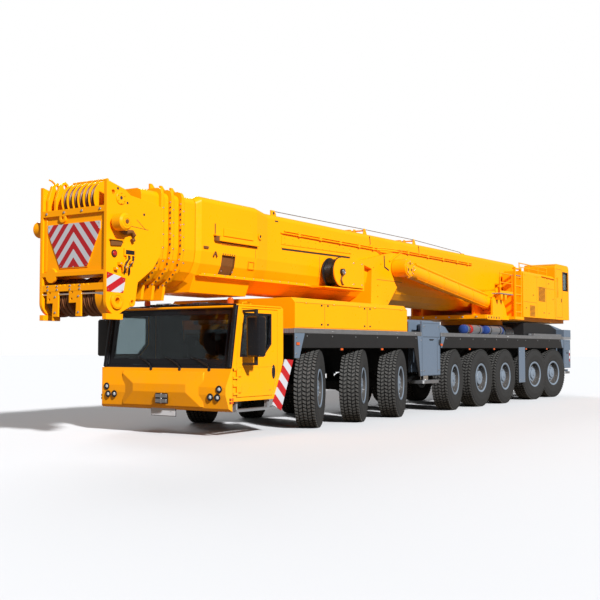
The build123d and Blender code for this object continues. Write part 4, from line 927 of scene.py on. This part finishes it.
def add_saddle_fittings():
    """Fittings on the saddle, the pin caps of the lifting cylinders and the reel's cable."""
    shape = Shape()
    face = 0.810
    shape.strip((1.600, 3.650), (1.575, 3.400), 0.034, face, face + 0.008, 1)
    shape.strip((1.590, 3.395), (1.370, 3.325), 0.034, face, face + 0.008, 1)
    shape.strip((1.355, 3.540), (0.760, 3.805), 0.030, face, face + 0.028)
    shape.strip((1.95, 3.08), (0.72, 3.08), 0.008, face, face + 0.003, 1)
    for x, z in ((1.90, 2.95), (1.90, 2.70), (1.45, 2.62), (2.10, 3.35), (1.75, 3.45)):
        shape.bolt((x, face - 0.001, z), Y_AXIS, 0.016)
    for x in (0.70, 0.55):
        shape.disc((x, BOOM_HALF - 0.004, 3.27), Y_AXIS, 0.035, 0.007, 16, 1)
    shape.mirror()
    add_piece("saddle_fittings", shape, [yellow_paint, seam_shadow], "boom", 0.002)
    shape = Shape()
    for i in range(3):
        angle = math.radians(90 + 120 * i)
        spot = (1.06 + 0.095 * math.cos(angle), 1.203, 3.39 + 0.095 * math.sin(angle))
        shape.disc(spot, Y_AXIS, 0.036, 0.007, 18, 1)
    shape.bolt_circle((1.06, 1.206, 3.39), Y_AXIS, 8, 0.150, 0.010, 2)
    shape.washer(0.165, 0.205, 0.012, (1.06, 1.174, 3.39), Y_AXIS, 40)
    shape.mirror()
    add_piece("cylinder_pin_caps", shape, [yellow_paint, shade_brown, bare_steel], "rods")
    shape = Shape()
    wraps = [(0.190, 0.752)]
    for i in range(11):
        y = 0.754 + 0.0195 * i
        wraps += [(0.262, y), (0.277, y + 0.004), (0.277, y + 0.0135), (0.262, y + 0.0175)]
    wraps.append((0.190, 0.968))
    shape.lathe(wraps, (3.85, 0, 3.11), Y_AXIS, 40)
    shape.washer(0.290, 0.314, 0.012, (3.85, 0.976, 3.11), Y_AXIS, 40, 1)
    shape.lathe([(0.040, 0.0), (0.062, 0.0), (0.056, 0.012), (0.040, 0.012)], (3.85, 1.078, 3.11), Y_AXIS, 24, 2)
    shape.disc((3.85, 1.076, 3.11), Y_AXIS, 0.041, 0.008, 20, 2)
    shape.tube([(3.86, 1.03, 3.03), (3.90, 1.045, 2.93), (3.86, 1.045, 2.86), (3.80, 1.03, 2.85)], 0.020, 10, 3)
    for x, z in ((3.35, 3.33), (3.35, 2.88), (3.0, 3.33), (3.0, 2.88)):
        shape.bolt((x, 1.023, z), Y_AXIS, 0.014, 2)
    add_piece("reel_cable", shape, [lamp_black, gloss_black, bare_steel, shade_brown], "boom")


# Driver's cab: glass edges, wipers, lamps, handles, beacons
CARRIER = "carrier"
DOOR_WINDOW = [(7.290, 1.375), (7.960, 1.375), (7.935, 1.600), (7.845, 2.120), (7.050, 2.120), (7.050, 1.590)]
FRONT_LAMPS = [(1.110, 0.695), (1.265, 0.690), (1.300, 0.830)]
WIPERS = [(-0.295, -0.483), (0.367, 0.154), (1.023, 0.742)]


def screen_x(z, off=0.0):
    """Place of the sloping windscreen plane at a height, moved forward by off."""
    return 8.190 - (z - 1.180) * 0.18 / 1.09 + off


def add_screen_trim():
    shape = Shape()
    edges = [
        ((-1.383, 1.228), (1.383, 1.330)),
        ((-1.383, 2.100), (1.383, 2.178)),
        ((-1.383, 1.330), (-1.290, 2.100)),
        ((1.290, 1.330), (1.383, 2.100)),
    ]
    for low, high in edges:
        ring = rectangle(low, high)
        shape.prism([(screen_x(z, -0.0195), y, z) for y, z in ring], [(screen_x(z, -0.0155), y, z) for y, z in ring])
    for y in (1.436, -1.436):
        path = [(screen_x(z, 0.002), y, z) for z in (1.185, 1.30, 1.55, 1.80, 2.05, 2.245)]
        shape.tube(path, 0.046, 16)
    shape.tube([(screen_x(2.225, 0.012), y, 2.225) for y in (-1.40, -0.7, 0.0, 0.7, 1.40)], 0.022, 10, 1)
    add_piece("screen_trim", shape, [gloss_black, yellow_paint], CARRIER)


def add_wipers():
    shape = Shape()
    for start, tip in WIPERS:
        foot = (screen_x(1.150, 0.030), start, 1.150)
        elbow = (screen_x(1.20, 0.022), start - 0.02, 1.20)
        end = (screen_x(1.31, 0.012), tip, 1.31)
        shape.disc((screen_x(1.145, -0.02), start, 1.145), (1, 0, 0.2), 0.034, 0.055, 16)
        shape.tube([foot, elbow, end], 0.011, 8)
        slope = Vector((screen_x(1.36) - screen_x(1.24), tip - start - 0.1, 0.12))
        middle = Vector((screen_x(1.30, -0.004), (start + tip) / 2 - 0.12, 1.30))
        shape.tube([middle - slope * 0.5, middle, middle + slope * 0.5], 0.010, 8)
    add_piece("wipers", shape, [lamp_black], CARRIER)


def add_front_lamps():
    """Dark bezels round the lamps with bright reflectors, the corner lamps, and the blank number plate."""
    shape = Shape()
    bezel = [(0.030, 0.0), (0.064, 0.0), (0.064, 0.008), (0.050, 0.014), (0.033, 0.005)]
    for y, z in FRONT_LAMPS:
        shape.lathe(bezel, (8.298, y, z), X_AXIS, 28)
        shape.lathe([(0.001, 0.0), (0.031, 0.0), (0.024, 0.008), (0.001, 0.011)], (8.299, y, z), X_AXIS, 24, 1)
    shape.mirror()
    add_piece("lamp_bezels", shape, [lamp_black, clear_lens], CARRIER)
    shape = Shape()
    for z in (0.605, 0.660):
        shape.box((8.150, 1.478, z - 0.022), (8.245, 1.492, z + 0.022), 1)
        shape.box((8.158, 1.490, z - 0.017), (8.238, 1.502, z + 0.017))
    shape.mirror()
    add_piece("corner_lamps", shape, [orange_lens, lamp_black], CARRIER, 0.003)
    shape = Shape()
    plate = rectangle((-0.292, 0.341), (0.266, 0.486))
    shape.front(plate, 8.206, 8.212)
    shape.front(inset(plate, -0.008), 8.196, 8.207, 1)
    for y in (-0.20, 0.17):
        shape.box((8.17, y - 0.02, 0.40), (8.197, y + 0.02, 0.56), 1)
        shape.disc((8.211, y, 0.414), X_AXIS, 0.009, 0.004, 10, 2)
    add_piece("number_plate", shape, [plate_white, lamp_black, bare_steel], CARRIER, 0.002)
    shape = Shape()
    recess = rectangle((-0.070, 0.558), (0.205, 0.740))
    shape.front(recess, 8.330, 8.353, 1)
    for y in (-0.055, 0.075):
        shape.box((8.340, y, 0.575), (8.372, y + 0.115, 0.640))
        shape.box((8.340, y, 0.665), (8.372, y + 0.115, 0.722))
    shape.disc((8.360, 0.068, 0.566), Z_AXIS, 0.016, 0.170, 16, 2)
    add_piece("front_tow_jaw", shape, [cast_aluminium, lamp_black, bare_steel], CARRIER, 0.004)


def add_doors():
    for side_name, side in SIDE_NAMES:
        body = "cab_door_" + side_name
        shape = Shape()
        outer = inset(DOOR_WINDOW, -0.006)
        inner = inset(DOOR_WINDOW, 0.034)
        shape.frame(outer, inner, 1.440, 1.4855)
        shape.side(inset(DOOR_WINDOW, 0.010), 1.447, 1.452, 1)
        handle = oval((6.975, 1.100), 0.052, 0.125)
        shape.side(handle, 1.470, 1.484)
        shape.side(oval((6.975, 1.100), 0.038, 0.106), 1.483, 1.4855, 2)
        shape.box((6.962, 1.484, 1.03), (6.988, 1.496, 1.17))
        for x, z in ((7.08, 0.78), (7.92, 0.78)):
            shape.disc((x, 1.476, z), Y_AXIS, 0.012, 0.006, 10, 2)
        shape.strip((7.03, 1.19), (8.00, 1.19), 0.006, 1.479, 1.482, 3)
        centre_x, centre_y, low, high = 7.870, 1.750, 1.395, 2.035
        ring = []
        for sx, sy, start in ((1, 1, 0), (-1, 1, 90), (-1, -1, 180), (1, -1, 270)):
            for k in range(5):
                angle = math.radians(start + 22.5 * k)
                x = centre_x + sx * 0.052 + 0.056 * math.cos(angle)
                ring.append((x, centre_y + sy * 0.092 + 0.056 * math.sin(angle)))
        shape.prism([(x, y, low) for x, y in ring], [(x, y, high) for x, y in ring])
        cap = [(centre_x + (x - centre_x) * 0.82, centre_y + (y - centre_y) * 0.82) for x, y in ring]
        shape.prism([(x, y, high - 0.001) for x, y in ring], [(x, y, high + 0.025) for x, y in cap])
        shape.prism([(x, y, low - 0.025) for x, y in cap], [(x, y, low + 0.001) for x, y in ring])
        shape.front(rectangle((1.645, 1.62), (1.855, 2.00)), 7.756, 7.763, 4)
        shape.front(rectangle((1.645, 1.43), (1.855, 1.59)), 7.756, 7.763, 4)
        if side < 0:
            shape.to_right()
        finishes = [gloss_black, window_glass, dark_trim, yellow_paint, chrome]
        add_piece("door_glass_" + side_name, shape, finishes, body)


def add_roof():
    """Beacons, roof hoses and the rain gutters."""
    shape = Shape()
    x, y, roof = 7.585, 0.98, 2.268
    base = [(0.001, 0), (0.075, 0), (0.075, 0.02), (0.055, 0.035), (0.001, 0.035)]
    dome = [(0.001, 0.035), (0.056, 0.035), (0.058, 0.085), (0.050, 0.125), (0.030, 0.142), (0.001, 0.146)]
    for slot, profile in enumerate((base, dome)):
        shape.lathe(profile, (x, y, roof), Z_AXIS, 24, slot)
    shape.tube([(x + 0.05, y + 0.02, 2.29), (x + 0.12, y + 0.05, 2.285), (x + 0.16, y + 0.10, 2.276)], 0.008, 6)
    shape.mirror()
    add_piece("beacons", shape, [lamp_black, orange_lens], CARRIER)
    shape = Shape()
    for i, y in enumerate((0.30, 0.36, 0.42, 0.50, 0.56)):
        sag = 0.012 * (i % 3)
        hose = [(7.95, y, 2.285), (7.6, y + 0.03, 2.298 + sag), (7.2, y, 2.296)]
        shape.tube(hose + [(6.8, y - 0.04, 2.300 + sag), (6.55, y, 2.296)], 0.020, 8)
    for x in (7.75, 7.3, 6.85):
        shape.box((x - 0.025, 0.26, 2.268), (x + 0.025, 0.60, 2.278), 1)
        shape.box((x - 0.02, 0.27, 2.315), (x + 0.02, 0.59, 2.330), 1)
    for y in (0.10, 0.72):
        shape.box((7.35, y - 0.05, 2.269), (7.62, y + 0.05, 2.318), 2)
    shape.mirror()
    add_piece("roof_hoses", shape, [lamp_black, cast_aluminium, black_plastic], CARRIER)
    shape = Shape()
    for side in SIDES:
        shape.tube([(8.00, side * 1.462, 2.245), (7.6, side * 1.474, 2.250), (6.74, side * 1.474, 2.250)], 0.016, 8)
    shape.tube([(6.676, -1.40, 2.255), (6.676, 0.0, 2.262), (6.676, 1.40, 2.255)], 0.014, 8)
    handle = ((7.50, 2.272), (7.50, 2.318), (7.38, 2.330), (7.26, 2.318), (7.26, 2.272))
    shape.tube([(x, 1.18, z) for x, z in handle], 0.012, 8)
    add_piece("roof_gutters", shape, [yellow_paint], CARRIER)


# Carrier: marker lamps, panel edges, hood seams, tanks, covers
MARKERS = (6.234, 4.651, 2.983, 0.030, -1.659, -3.298, -5.742, -7.544)
HIGH_MARKERS = (6.234, 0.030)


def add_markers():
    shape = Shape()
    for x in MARKERS:
        if x in HIGH_MARKERS:
            shape.box((x - 0.055, 1.499, 1.568), (x + 0.055, 1.506, 1.632), 1)
            shape.box((x - 0.047, 1.505, 1.575), (x + 0.047, 1.522, 1.625))
        else:
            shape.box((x - 0.050, 1.470, 1.470), (x + 0.050, 1.498, 1.521), 1)
            shape.box((x - 0.042, 1.497, 1.476), (x + 0.042, 1.512, 1.516))
    shape.mirror()
    add_piece("marker_lamps", shape, [orange_lens, lamp_black], CARRIER, 0.003)


def add_guard_panels():
    """Grey corner plates over the ends of the black bands, and the panel between the rear axles."""
    shape = Shape()
    plates = [
        [(6.335, 1.335), (6.175, 1.335), (6.105, 1.525), (5.990, 1.795), (6.335, 1.795)],
        [(1.085, 0.880), (1.150, 0.880), (1.290, 1.795), (1.085, 1.795)],
        [(0.025, 1.795), (-0.200, 1.795), (-0.020, 1.530), (0.042, 1.530)],
        [(-8.860, 1.795), (-9.145, 1.795), (-9.145, 1.530), (-9.010, 1.530)],
        [(-5.150, 0.540), (-5.640, 0.540), (-5.640, 1.545), (-5.150, 1.545)],
    ]
    for plate in plates:
        shape.side(plate, 1.4995, 1.5055)
    for x, heights in ((6.28, (1.42, 1.72)), (-5.58, (0.62, 1.42)), (-5.21, (0.62, 1.42)), (1.12, (1.0, 1.7))):
        for z in heights:
            shape.bolt((x, 1.505, z), Y_AXIS, 0.013, 1)
    for low, high in ((1.32, 5.96), (-5.12, -0.24), (-8.84, -5.67)):
        shape.strip((low, 1.535), (high, 1.535), 0.018, 1.4995, 1.508, 2)
        count = int((high - low) / 0.8)
        for i in range(count + 1):
            x = low + 0.05 + (high - low - 0.1) * i / count
            shape.disc((x, 1.4995, 1.745), Y_AXIS, 0.014, 0.007, 10, 1)
    shape.mirror()
    add_piece("guard_panels", shape, [grey_paint, cast_aluminium, black_plastic], CARRIER, 0.0015)


def add_deck_edges():
    """Aluminium edge sections along the walkways."""
    shape = Shape()
    for low, high in ((1.10, 6.33), (-9.15, 0.02)):
        shape.side([(low, 1.806), (high, 1.806), (high, 1.874), (low, 1.874)], 1.4995, 1.5045)
        shape.side([(low, 1.874), (high, 1.874), (high, 1.890), (low, 1.890)], 1.470, 1.5045)
        count = int((high - low) / 0.9)
        for i in range(count):
            shape.disc((low + 0.3 + 0.9 * i, 1.504, 1.840), Y_AXIS, 0.012, 0.005, 10, 1)
    shape.mirror()
    add_piece("deck_edges", shape, [cast_aluminium, bare_steel], CARRIER, 0.002)


def add_hood_details():
    """Door seams, latches, hinges and cooling slats of the engine hood."""
    shape = Shape()
    face = 1.500
    for x in (5.286, 3.62):
        shape.seam((x, 1.90), (x, 2.365), 0.007, face)
    for x in (5.397, 5.170, 3.73, 3.50):
        for z in (1.970, 2.335):
            shape.side(oval((x, z), 0.030, 0.020, 14), face - 0.002, face + 0.005, 1)
    shape.seam((1.82, 1.905), (6.30, 1.905), 0.006, face)
    shape.seam((1.82, 2.366), (6.30, 2.366), 0.005, face)
    for x in (5.95, 4.95, 3.95, 3.3, 2.1):
        shape.box((x - 0.05, face - 0.004, 2.355), (x + 0.05, face + 0.008, 2.380))
        shape.bolt((x, face + 0.007, 2.367), Y_AXIS, 0.008, 2)
    shape.mirror()
    slats = 16
    for low, high in ((2.25, 3.25), (3.95, 4.95)):
        # A dark plate under the slats: painted shade in the gaps between them
        shape.box((low - 0.05, -0.82, 2.458), (high + 0.05, 0.82, 2.463), 1)
        for i in range(slats):
            middle = low + (high - low) * (i + 0.5) / slats
            foot = rectangle((middle - 0.022, -0.80), (middle + 0.010, 0.80))
            crown = rectangle((middle - 0.006, -0.80), (middle + 0.016, 0.80))
            shape.prism([(x, y, 2.462) for x, y in foot], [(x, y, 2.470) for x, y in crown])
    for i in range(9):
        z = 1.98 + 0.042 * i
        shape.box((1.788, -1.05, z), (1.801, 1.05, z + 0.022), 1)
    for i in range(2):
        shape.box((6.318, -0.9 + 1.0 * i, 1.98), (6.328, -0.1 + 1.0 * i, 2.30), 1)
    add_piece("hood_details", shape, [yellow_paint, seam_shadow, bare_steel], CARRIER)


def add_deck_load():
    """Air tanks, hose bundles and the folded ladder that lie on the rear deck."""
    shape = Shape()
    for low, high in ((-2.950, -1.710), (-4.380, -3.160)):
        tank = [(0.001, 0.0), (0.060, 0.0), (0.105, 0.030), (0.118, 0.075), (0.118, 0.16)]
        tank += [(radius, high - low - along) for radius, along in reversed(tank)]
        shape.lathe(tank, (low, 1.27, 2.008), X_AXIS, 28, slots=[1, 1, 1, 1, 0, 1, 1, 1, 1, 1])
        for x in (low + 0.28, high - 0.28):
            shape.washer(0.117, 0.125, 0.045, (x, 1.27, 2.008), X_AXIS, 28, 3)
            shape.box((x - 0.005, 1.17, 1.879), (x + 0.05, 1.37, 1.910), 3)
    shape.washer(0.1175, 0.122, 0.15, (-2.17, 1.27, 2.008), X_AXIS, 28, 2)
    shape.mirror()
    add_piece("air_tanks", shape, [cast_aluminium, tank_blue, tank_red, lamp_black], CARRIER)
    shape = Shape()
    for i in range(6):
        x = -4.52 - 0.10 * i
        hose = [(x, 1.40, 1.885), (x - 0.02, 1.37, 2.00), (x - 0.08, 1.28, 2.09)]
        shape.tube(hose + [(x - 0.13, 1.17, 2.11), (x - 0.14, 1.08, 2.06)], 0.026, 8)
    shape.box((-5.16, 1.36, 1.879), (-4.44, 1.44, 1.912), 1)
    shape.mirror()
    for y in (1.30, 1.44):
        shape.box((-9.05, y, 1.893), (-6.50, y + 0.035, 1.955), 2)
    for i in range(10):
        shape.disc((-6.62 - 0.26 * i, 1.31, 1.925), Y_AXIS, 0.016, 0.15, 10, 2)
    add_piece("deck_hoses", shape, [lamp_black, black_plastic, cast_aluminium], CARRIER)


def add_outrigger_covers():
    """Raised edges, hinges and handles of the outrigger end covers."""
    places = {"front": (0.060, 1.040, 0.880, 2.140), "rear": (-9.880, -9.240, 0.880, 1.790)}
    for end, (x_low, x_high, z_low, z_high) in places.items():
        for side_name, side in SIDE_NAMES:
            shape = Shape()
            edge = rectangle((x_low + 0.012, z_low + 0.012), (x_high - 0.012, z_high - 0.012))
            shape.frame(edge, inset(edge, 0.030), 1.487, 1.494)
            middle = (x_low + x_high) / 2
            shape.strip((x_low + 0.05, z_high - 0.36), (x_high - 0.05, z_high - 0.36), 0.010, 1.487, 1.4895, 1)
            shape.strip((x_low + 0.16, z_low + 0.05), (x_low + 0.16, z_high - 0.37), 0.008, 1.487, 1.4895, 1)
            for x in (x_low + 0.10, x_high - 0.10):
                shape.bolt((x, 1.487, z_low + 0.12), Y_AXIS, 0.016, 2)
                shape.bolt((x, 1.487, z_high - 0.12), Y_AXIS, 0.016, 2)
            grip = ((-0.09, 1.488), (-0.09, 1.512), (0.09, 1.512), (0.09, 1.488))
            shape.tube([(middle + off, y, z_high - 0.42) for off, y in grip], 0.010, 8, 1)
            if end == "front":
                shape.side(oval((x_low + 0.06, 1.655), 0.030, 0.075, 18), 1.487, 1.4985, 1)
            else:
                for i in range(4):
                    z = 1.09 + 0.09 * i
                    shape.side(rectangle((x_low + 0.045, z), (x_low + 0.125, z + 0.09)), 1.487, 1.4905, 3 + i % 2)
            if side < 0:
                shape.to_right()
            finishes = [grey_paint, lamp_black, bare_steel, red_lens, plate_white]
            corner = f"{end}_{side_name}"
            add_piece("outrigger_cover_" + corner, shape, finishes, "outrigger_beam_" + corner)


def add_rear_details():
    """Marked plates, lamp housings and step on the carrier's back."""
    shape = Shape()
    back = -9.900
    for i in range(5):
        y = 0.62 + 0.10 * i
        band = [(y, 1.50), (y + 0.10, 1.50), (y + 0.20, 1.64), (y + 0.10, 1.64)]
        shape.front(band, back - 0.001, back - 0.005, i % 2)
    lamp = rectangle((0.790, 0.985), (1.130, 1.135))
    shape.front(lamp, -9.958, -9.905, 2)
    for i, slot in enumerate((0, 3, 4)):
        low = 0.808 + 0.105 * i
        shape.front(rectangle((low, 1.005), (low + 0.095, 1.115)), -9.972, -9.957, slot)
    shape.tube([(-9.90, 0.34, 1.62), (-10.02, 0.34, 1.62), (-10.06, 0.34, 1.58), (-10.06, 0.34, 1.50)], 0.018, 8, 2)
    shape.mirror()
    for y in (-0.5, 0.0, 0.5):
        shape.box((-10.388, y - 0.09, 0.715), (-10.379, y + 0.09, 0.805), 2)
    finishes = [red_lens, plate_white, lamp_black, orange_lens, clear_lens]
    add_piece("rear_fittings", shape, finishes, CARRIER, 0.002)


# Slewing upper: housing doors, louvres, rails, platforms, crane cab glass, winch rope, cylinder pipes
UPPER = "upper"


def add_housing_details():
    shape = Shape()
    face = 1.450
    for x in (-6.87, -7.72):
        shape.seam((x, 2.47), (x, 3.70), 0.007, face)
    shape.seam((-5.74, 2.88), (-6.87, 2.88), 0.007, face)
    shape.seam((-6.87, 3.36), (-8.50, 3.36), 0.007, face)
    for i in range(9):
        z = 2.470 + 0.037 * i
        shape.box((-6.678, face - 0.001, z), (-6.262, face + 0.010, z + 0.018), 2)
    for i in range(12):
        z = 2.95 + 0.037 * i
        shape.box((-7.60, face - 0.001, z), (-7.02, face + 0.010, z + 0.018), 2)
    for x, z in ((-5.95, 2.70), (-6.55, 3.10), (-7.50, 2.60), (-7.95, 2.60), (-8.35, 3.05), (-7.95, 3.52)):
        shape.side(oval((x, z), 0.030, 0.022, 14), face - 0.001, face + 0.005, 1)
    for x in (-5.85, -6.75, -6.99, -7.60, -7.84, -8.42):
        shape.box((x - 0.045, face - 0.002, 3.655), (x + 0.045, face + 0.010, 3.685))
    rail = [(-7.263, 1.448, 3.700), (-7.263, 1.485, 3.716), (-8.40, 1.485, 3.690), (-8.40, 1.448, 3.675)]
    shape.tube(rail, 0.016, 8)
    for x in (-5.80, -6.60, -7.40, -8.20):
        shape.tube([(x, 1.30, 3.775), (x, 1.30, 4.02)], 0.016, 8)
    shape.tube([(-5.78, 1.30, 4.015), (-8.22, 1.30, 4.015)], 0.016, 8)
    shape.tube([(-5.78, 1.30, 3.90), (-8.22, 1.30, 3.90)], 0.012, 8)
    for low in (-6.60, -8.05):
        shape.box((low, 0.98, 3.778), (low + 0.62, 1.24, 3.792), 1)
        for i in range(10):
            x = low + 0.03 + 0.06 * i
            shape.box((x, 0.99, 3.790), (x + 0.030, 1.23, 3.802))
    shape.mirror()
    for i in range(14):
        z = 2.60 + 0.06 * i
        shape.box((-9.952, -1.36, z), (-9.939, -0.90, z + 0.030), 2)
    for x in (-8.62, -9.30):
        shape.strip((x, 2.47), (x, 3.70), 0.007, -1.4515, -1.449, 1)
    add_piece("housing_details", shape, [yellow_paint, seam_shadow, shade_brown], UPPER, 0.0015)


def add_platforms():
    shape = Shape()
    shape.box((-4.90, 1.200, 3.020), (-3.92, 1.450, 3.045))
    shape.box((-4.90, 1.440, 3.045), (-3.92, 1.450, 3.110), 1)
    shape.side([(-4.42, 2.86), (-4.36, 2.86), (-4.30, 3.02), (-4.48, 3.02)], 1.255, 1.430, 1)
    shape.side([(-4.12, 2.86), (-4.06, 2.86), (-4.00, 3.02), (-4.18, 3.02)], 1.255, 1.430, 1)
    for x in (-4.86, -3.96):
        shape.tube([(x, 1.430, 3.04), (x, 1.430, 3.60)], 0.016, 8, 1)
    shape.tube([(-4.88, 1.430, 3.60), (-3.94, 1.430, 3.60)], 0.016, 8, 1)
    shape.tube([(-4.88, 1.430, 3.34), (-3.94, 1.430, 3.34)], 0.012, 8, 1)
    shape.box((-5.10, 1.28, 3.60), (-5.58, 1.44, 3.62))
    shape.mirror()
    add_piece("platforms", shape, [deck_aluminium, yellow_paint], UPPER, 0.002)
    shape = Shape()
    plate = [(-4.32, 2.300), (-3.375, 2.300), (-3.320, 2.350), (-3.320, 2.425), (-4.32, 2.425)]
    shape.side(plate, 1.271, 1.296)
    for i in range(5):
        shape.disc((-4.20 + 0.185 * i, 1.294, 2.360), Y_AXIS, 0.034, 0.005, 16, 1)
    shape.mirror()
    for i in range(6):
        shape.bolt((-3.299, -1.0 + 0.4 * i, 2.375), X_AXIS, 0.020, 2)
    add_piece("pad_combs", shape, [yellow_paint, seam_shadow, bare_steel], UPPER, 0.002)


def add_crane_cab_details():
    shape = Shape()
    pane = rectangle((-9.800, 3.394), (-9.320, 3.960))
    for y_low, y_high in ((1.420, 1.426), (0.452, 0.458)):
        shape.side(inset(pane, 0.002), y_low, y_high)
    shape.frame(inset(pane, -0.022), inset(pane, 0.016), 1.4495, 1.459, 1)
    shape.frame(inset(pane, -0.022), inset(pane, 0.016), 0.421, 0.4305, 1)
    shape.front(rectangle((0.512, 2.943), (1.368, 3.948)), -9.918, -9.912)
    level = [((0.49, 2.915), (1.39, 2.955)), ((0.49, 3.935), (1.39, 3.972))]
    upright = [((0.49, 2.955), (0.53, 3.935)), ((1.35, 2.955), (1.39, 3.935))]
    for low, high in level + upright:
        shape.front(rectangle(low, high), -9.951, -9.939, 1)
    shape.tube([(-9.955, 0.94, 2.98), (-9.957, 0.86, 3.30), (-9.955, 0.80, 3.62)], 0.011, 8, 1)
    shape.tube([(-9.952, 0.72, 3.40), (-9.952, 0.86, 3.90)], 0.010, 8, 1)
    for x in (-9.26, -8.66):
        shape.seam((x, 2.50), (x, 4.04), 0.007, 1.450, 2)
    for z in (4.04, 2.50):
        shape.seam((-9.26, z), (-8.66, z), 0.007, 1.450, 2)
    shape.side(oval((-9.16, 3.05), 0.024, 0.07), 1.449, 1.458, 1)
    shape.tube([(-8.74, 1.449, 3.15), (-8.74, 1.480, 3.15), (-8.74, 1.480, 3.75), (-8.74, 1.449, 3.75)], 0.013, 8, 3)
    for y in (0.62, 1.26):
        shape.box((-9.86, y - 0.06, 4.195), (-9.78, y + 0.06, 4.240), 1)
        shape.front(rectangle((y - 0.05, 4.202), (y + 0.05, 4.234)), -9.868, -9.859, 4)
    finishes = [window_glass, lamp_black, seam_shadow, yellow_paint, clear_lens]
    add_piece("crane_cab_details", shape, finishes, UPPER)


def add_winch_rope():
    shape = Shape()
    wraps = [(0.2405, -0.545)]
    count = 42
    pitch = 1.088 / count
    for i in range(count):
        y = -0.544 + pitch * i
        wraps += [(0.246, y), (0.263, y + pitch * 0.3), (0.263, y + pitch * 0.7)]
    wraps.append((0.2405, 0.545))
    shape.lathe(wraps, (-8.11, 0, 3.08), Y_AXIS, 40)
    for side in SIDES:
        shape.bolt_circle((-8.11, side * 0.589, 3.08), (0, side, 0), 10, 0.285, 0.014, 1)
    add_piece("winch_rope", shape, [rope_steel, bare_steel], UPPER)


def add_cylinder_pipes():
    """Bands and pipes on the barrels of the lifting cylinders."""
    shape = Shape()
    foot = Vector((-4.25, 1.0, 2.76))
    reach = Vector((1.06, 1.0, 3.39)) - foot
    ahead = reach.normalized()
    over = Vector((-ahead.z, 0.0, ahead.x))
    length = reach.length - 0.30
    for along in (0.62, 1.5, 2.4, 3.3, 4.2):
        spot = foot + ahead * along
        shape.washer(0.174, 0.184, 0.05, spot, ahead, 36)
        lug = spot + ahead * 0.025 + over * 0.19
        shape.bolt(lug, over, 0.012, 1)
    for off, radius in ((0.075, 0.016), (0.115, 0.013)):
        aside = Vector((0, off, 0)) - over * math.sqrt(0.196 ** 2 - off ** 2)
        low = foot + ahead * 0.40 + aside
        high = foot + ahead * (length - 0.25) + aside
        shape.tube([low, low + ahead * 0.05, high, high + over * 0.03], radius, 8)
    gland = foot + ahead * length
    shape.lathe([(0.150, -0.02), (0.186, -0.02), (0.186, 0.0), (0.150, 0.008)], gland, ahead, 36, 0)
    for i in range(12):
        angle = math.pi * i / 6
        rim = gland + over * 0.166 * math.cos(angle) + Vector((0, 0.166 * math.sin(angle), 0)) + ahead * 0.002
        shape.bolt(rim, ahead, 0.010, 1)
    shape.mirror()
    add_piece("cylinder_pipes", shape, [yellow_paint, bare_steel], "barrels")


PIECE_MAKERS = (
    add_head_sheets,
    add_head_pins,
    add_head_fittings,
    add_ring_bolts,
    add_boom_sides,
    add_collar_fittings,
    add_saddle_fittings,
    add_screen_trim,
    add_wipers,
    add_front_lamps,
    add_doors,
    add_roof,
    add_markers,
    add_guard_panels,
    add_deck_edges,
    add_hood_details,
    add_deck_load,
    add_outrigger_covers,
    add_rear_details,
    add_housing_details,
    add_platforms,
    add_crane_cab_details,
    add_winch_rope,
    add_cylinder_pipes,
)
for make_pieces in PIECE_MAKERS:
    make_pieces()


def add_camera():
    data = bpy.data.cameras.new("camera")
    data.lens = CAMERA_LENS
    data.sensor_width = SENSOR_WIDTH
    data.sensor_fit = "HORIZONTAL"
    data.clip_end = VIEW_END
    camera = bpy.data.objects.new("camera", data)
    bpy.context.scene.collection.objects.link(camera)
    level = math.cos(CAMERA_PITCH)
    aim = Vector((-math.cos(CAMERA_YAW) * level, -math.sin(CAMERA_YAW) * level, math.sin(CAMERA_PITCH)))
    camera.location = CAMERA_PLACE
    camera.rotation_euler = aim.to_track_quat("-Z", "Y").to_euler()
    bpy.context.scene.camera = camera


def seen_directly(tree):
    """One where the camera looks straight at the backdrop, also through a pane."""
    path = put(tree, "LightPath").outputs
    return math_node(tree, "MAXIMUM", path["Is Camera Ray"], path["Is Transmission Ray"])


def add_light():
    """A key light from the front left, as in the photograph, and a weak wide one from behind on the right."""
    for name, energy, width, travel in LIGHTS:
        data = bpy.data.lights.new(name, "SUN")
        data.energy = energy
        data.angle = math.radians(width)
        lamp = bpy.data.objects.new(name, data)
        lamp.rotation_euler = Vector(travel).to_track_quat("-Z", "Y").to_euler()
        bpy.context.scene.collection.objects.link(lamp)
    world = bpy.data.worlds.new("studio")
    bpy.context.scene.world = world
    world.use_nodes = True
    tree = world.node_tree
    sky = tree.nodes["Background"]
    strength = remap(tree, seen_directly(tree), 0.0, 1.0, SKY_FILL, SKY_SEEN)
    set_sockets(tree, sky, {"Color": (1, 1, 1, 1), "Strength": strength})


def add_floor():
    mesh = bpy.data.meshes.new("floor")
    corners = rectangle((-FLOOR_HALF, -FLOOR_HALF), (FLOOR_HALF, FLOOR_HALF))
    mesh.from_pydata([(x, y, 0) for x, y in corners], [], [(0, 1, 2, 3)])
    floor = bpy.data.objects.new("floor", mesh)
    material, tree, shader = new_material("floor", FLOOR_SEEN, 0.95)
    colour = mix_colours(tree, seen_directly(tree), FLOOR_BOUNCE, FLOOR_SEEN)
    set_sockets(tree, shader, {"Base Color": colour})
    set_sockets(tree, shader, {"Specular IOR Level": 0.0})
    floor.data.materials.append(material)
    bpy.context.scene.collection.objects.link(floor)


add_camera()
add_light()
add_floor()
bpy.context.scene.view_settings.view_transform = "Standard"
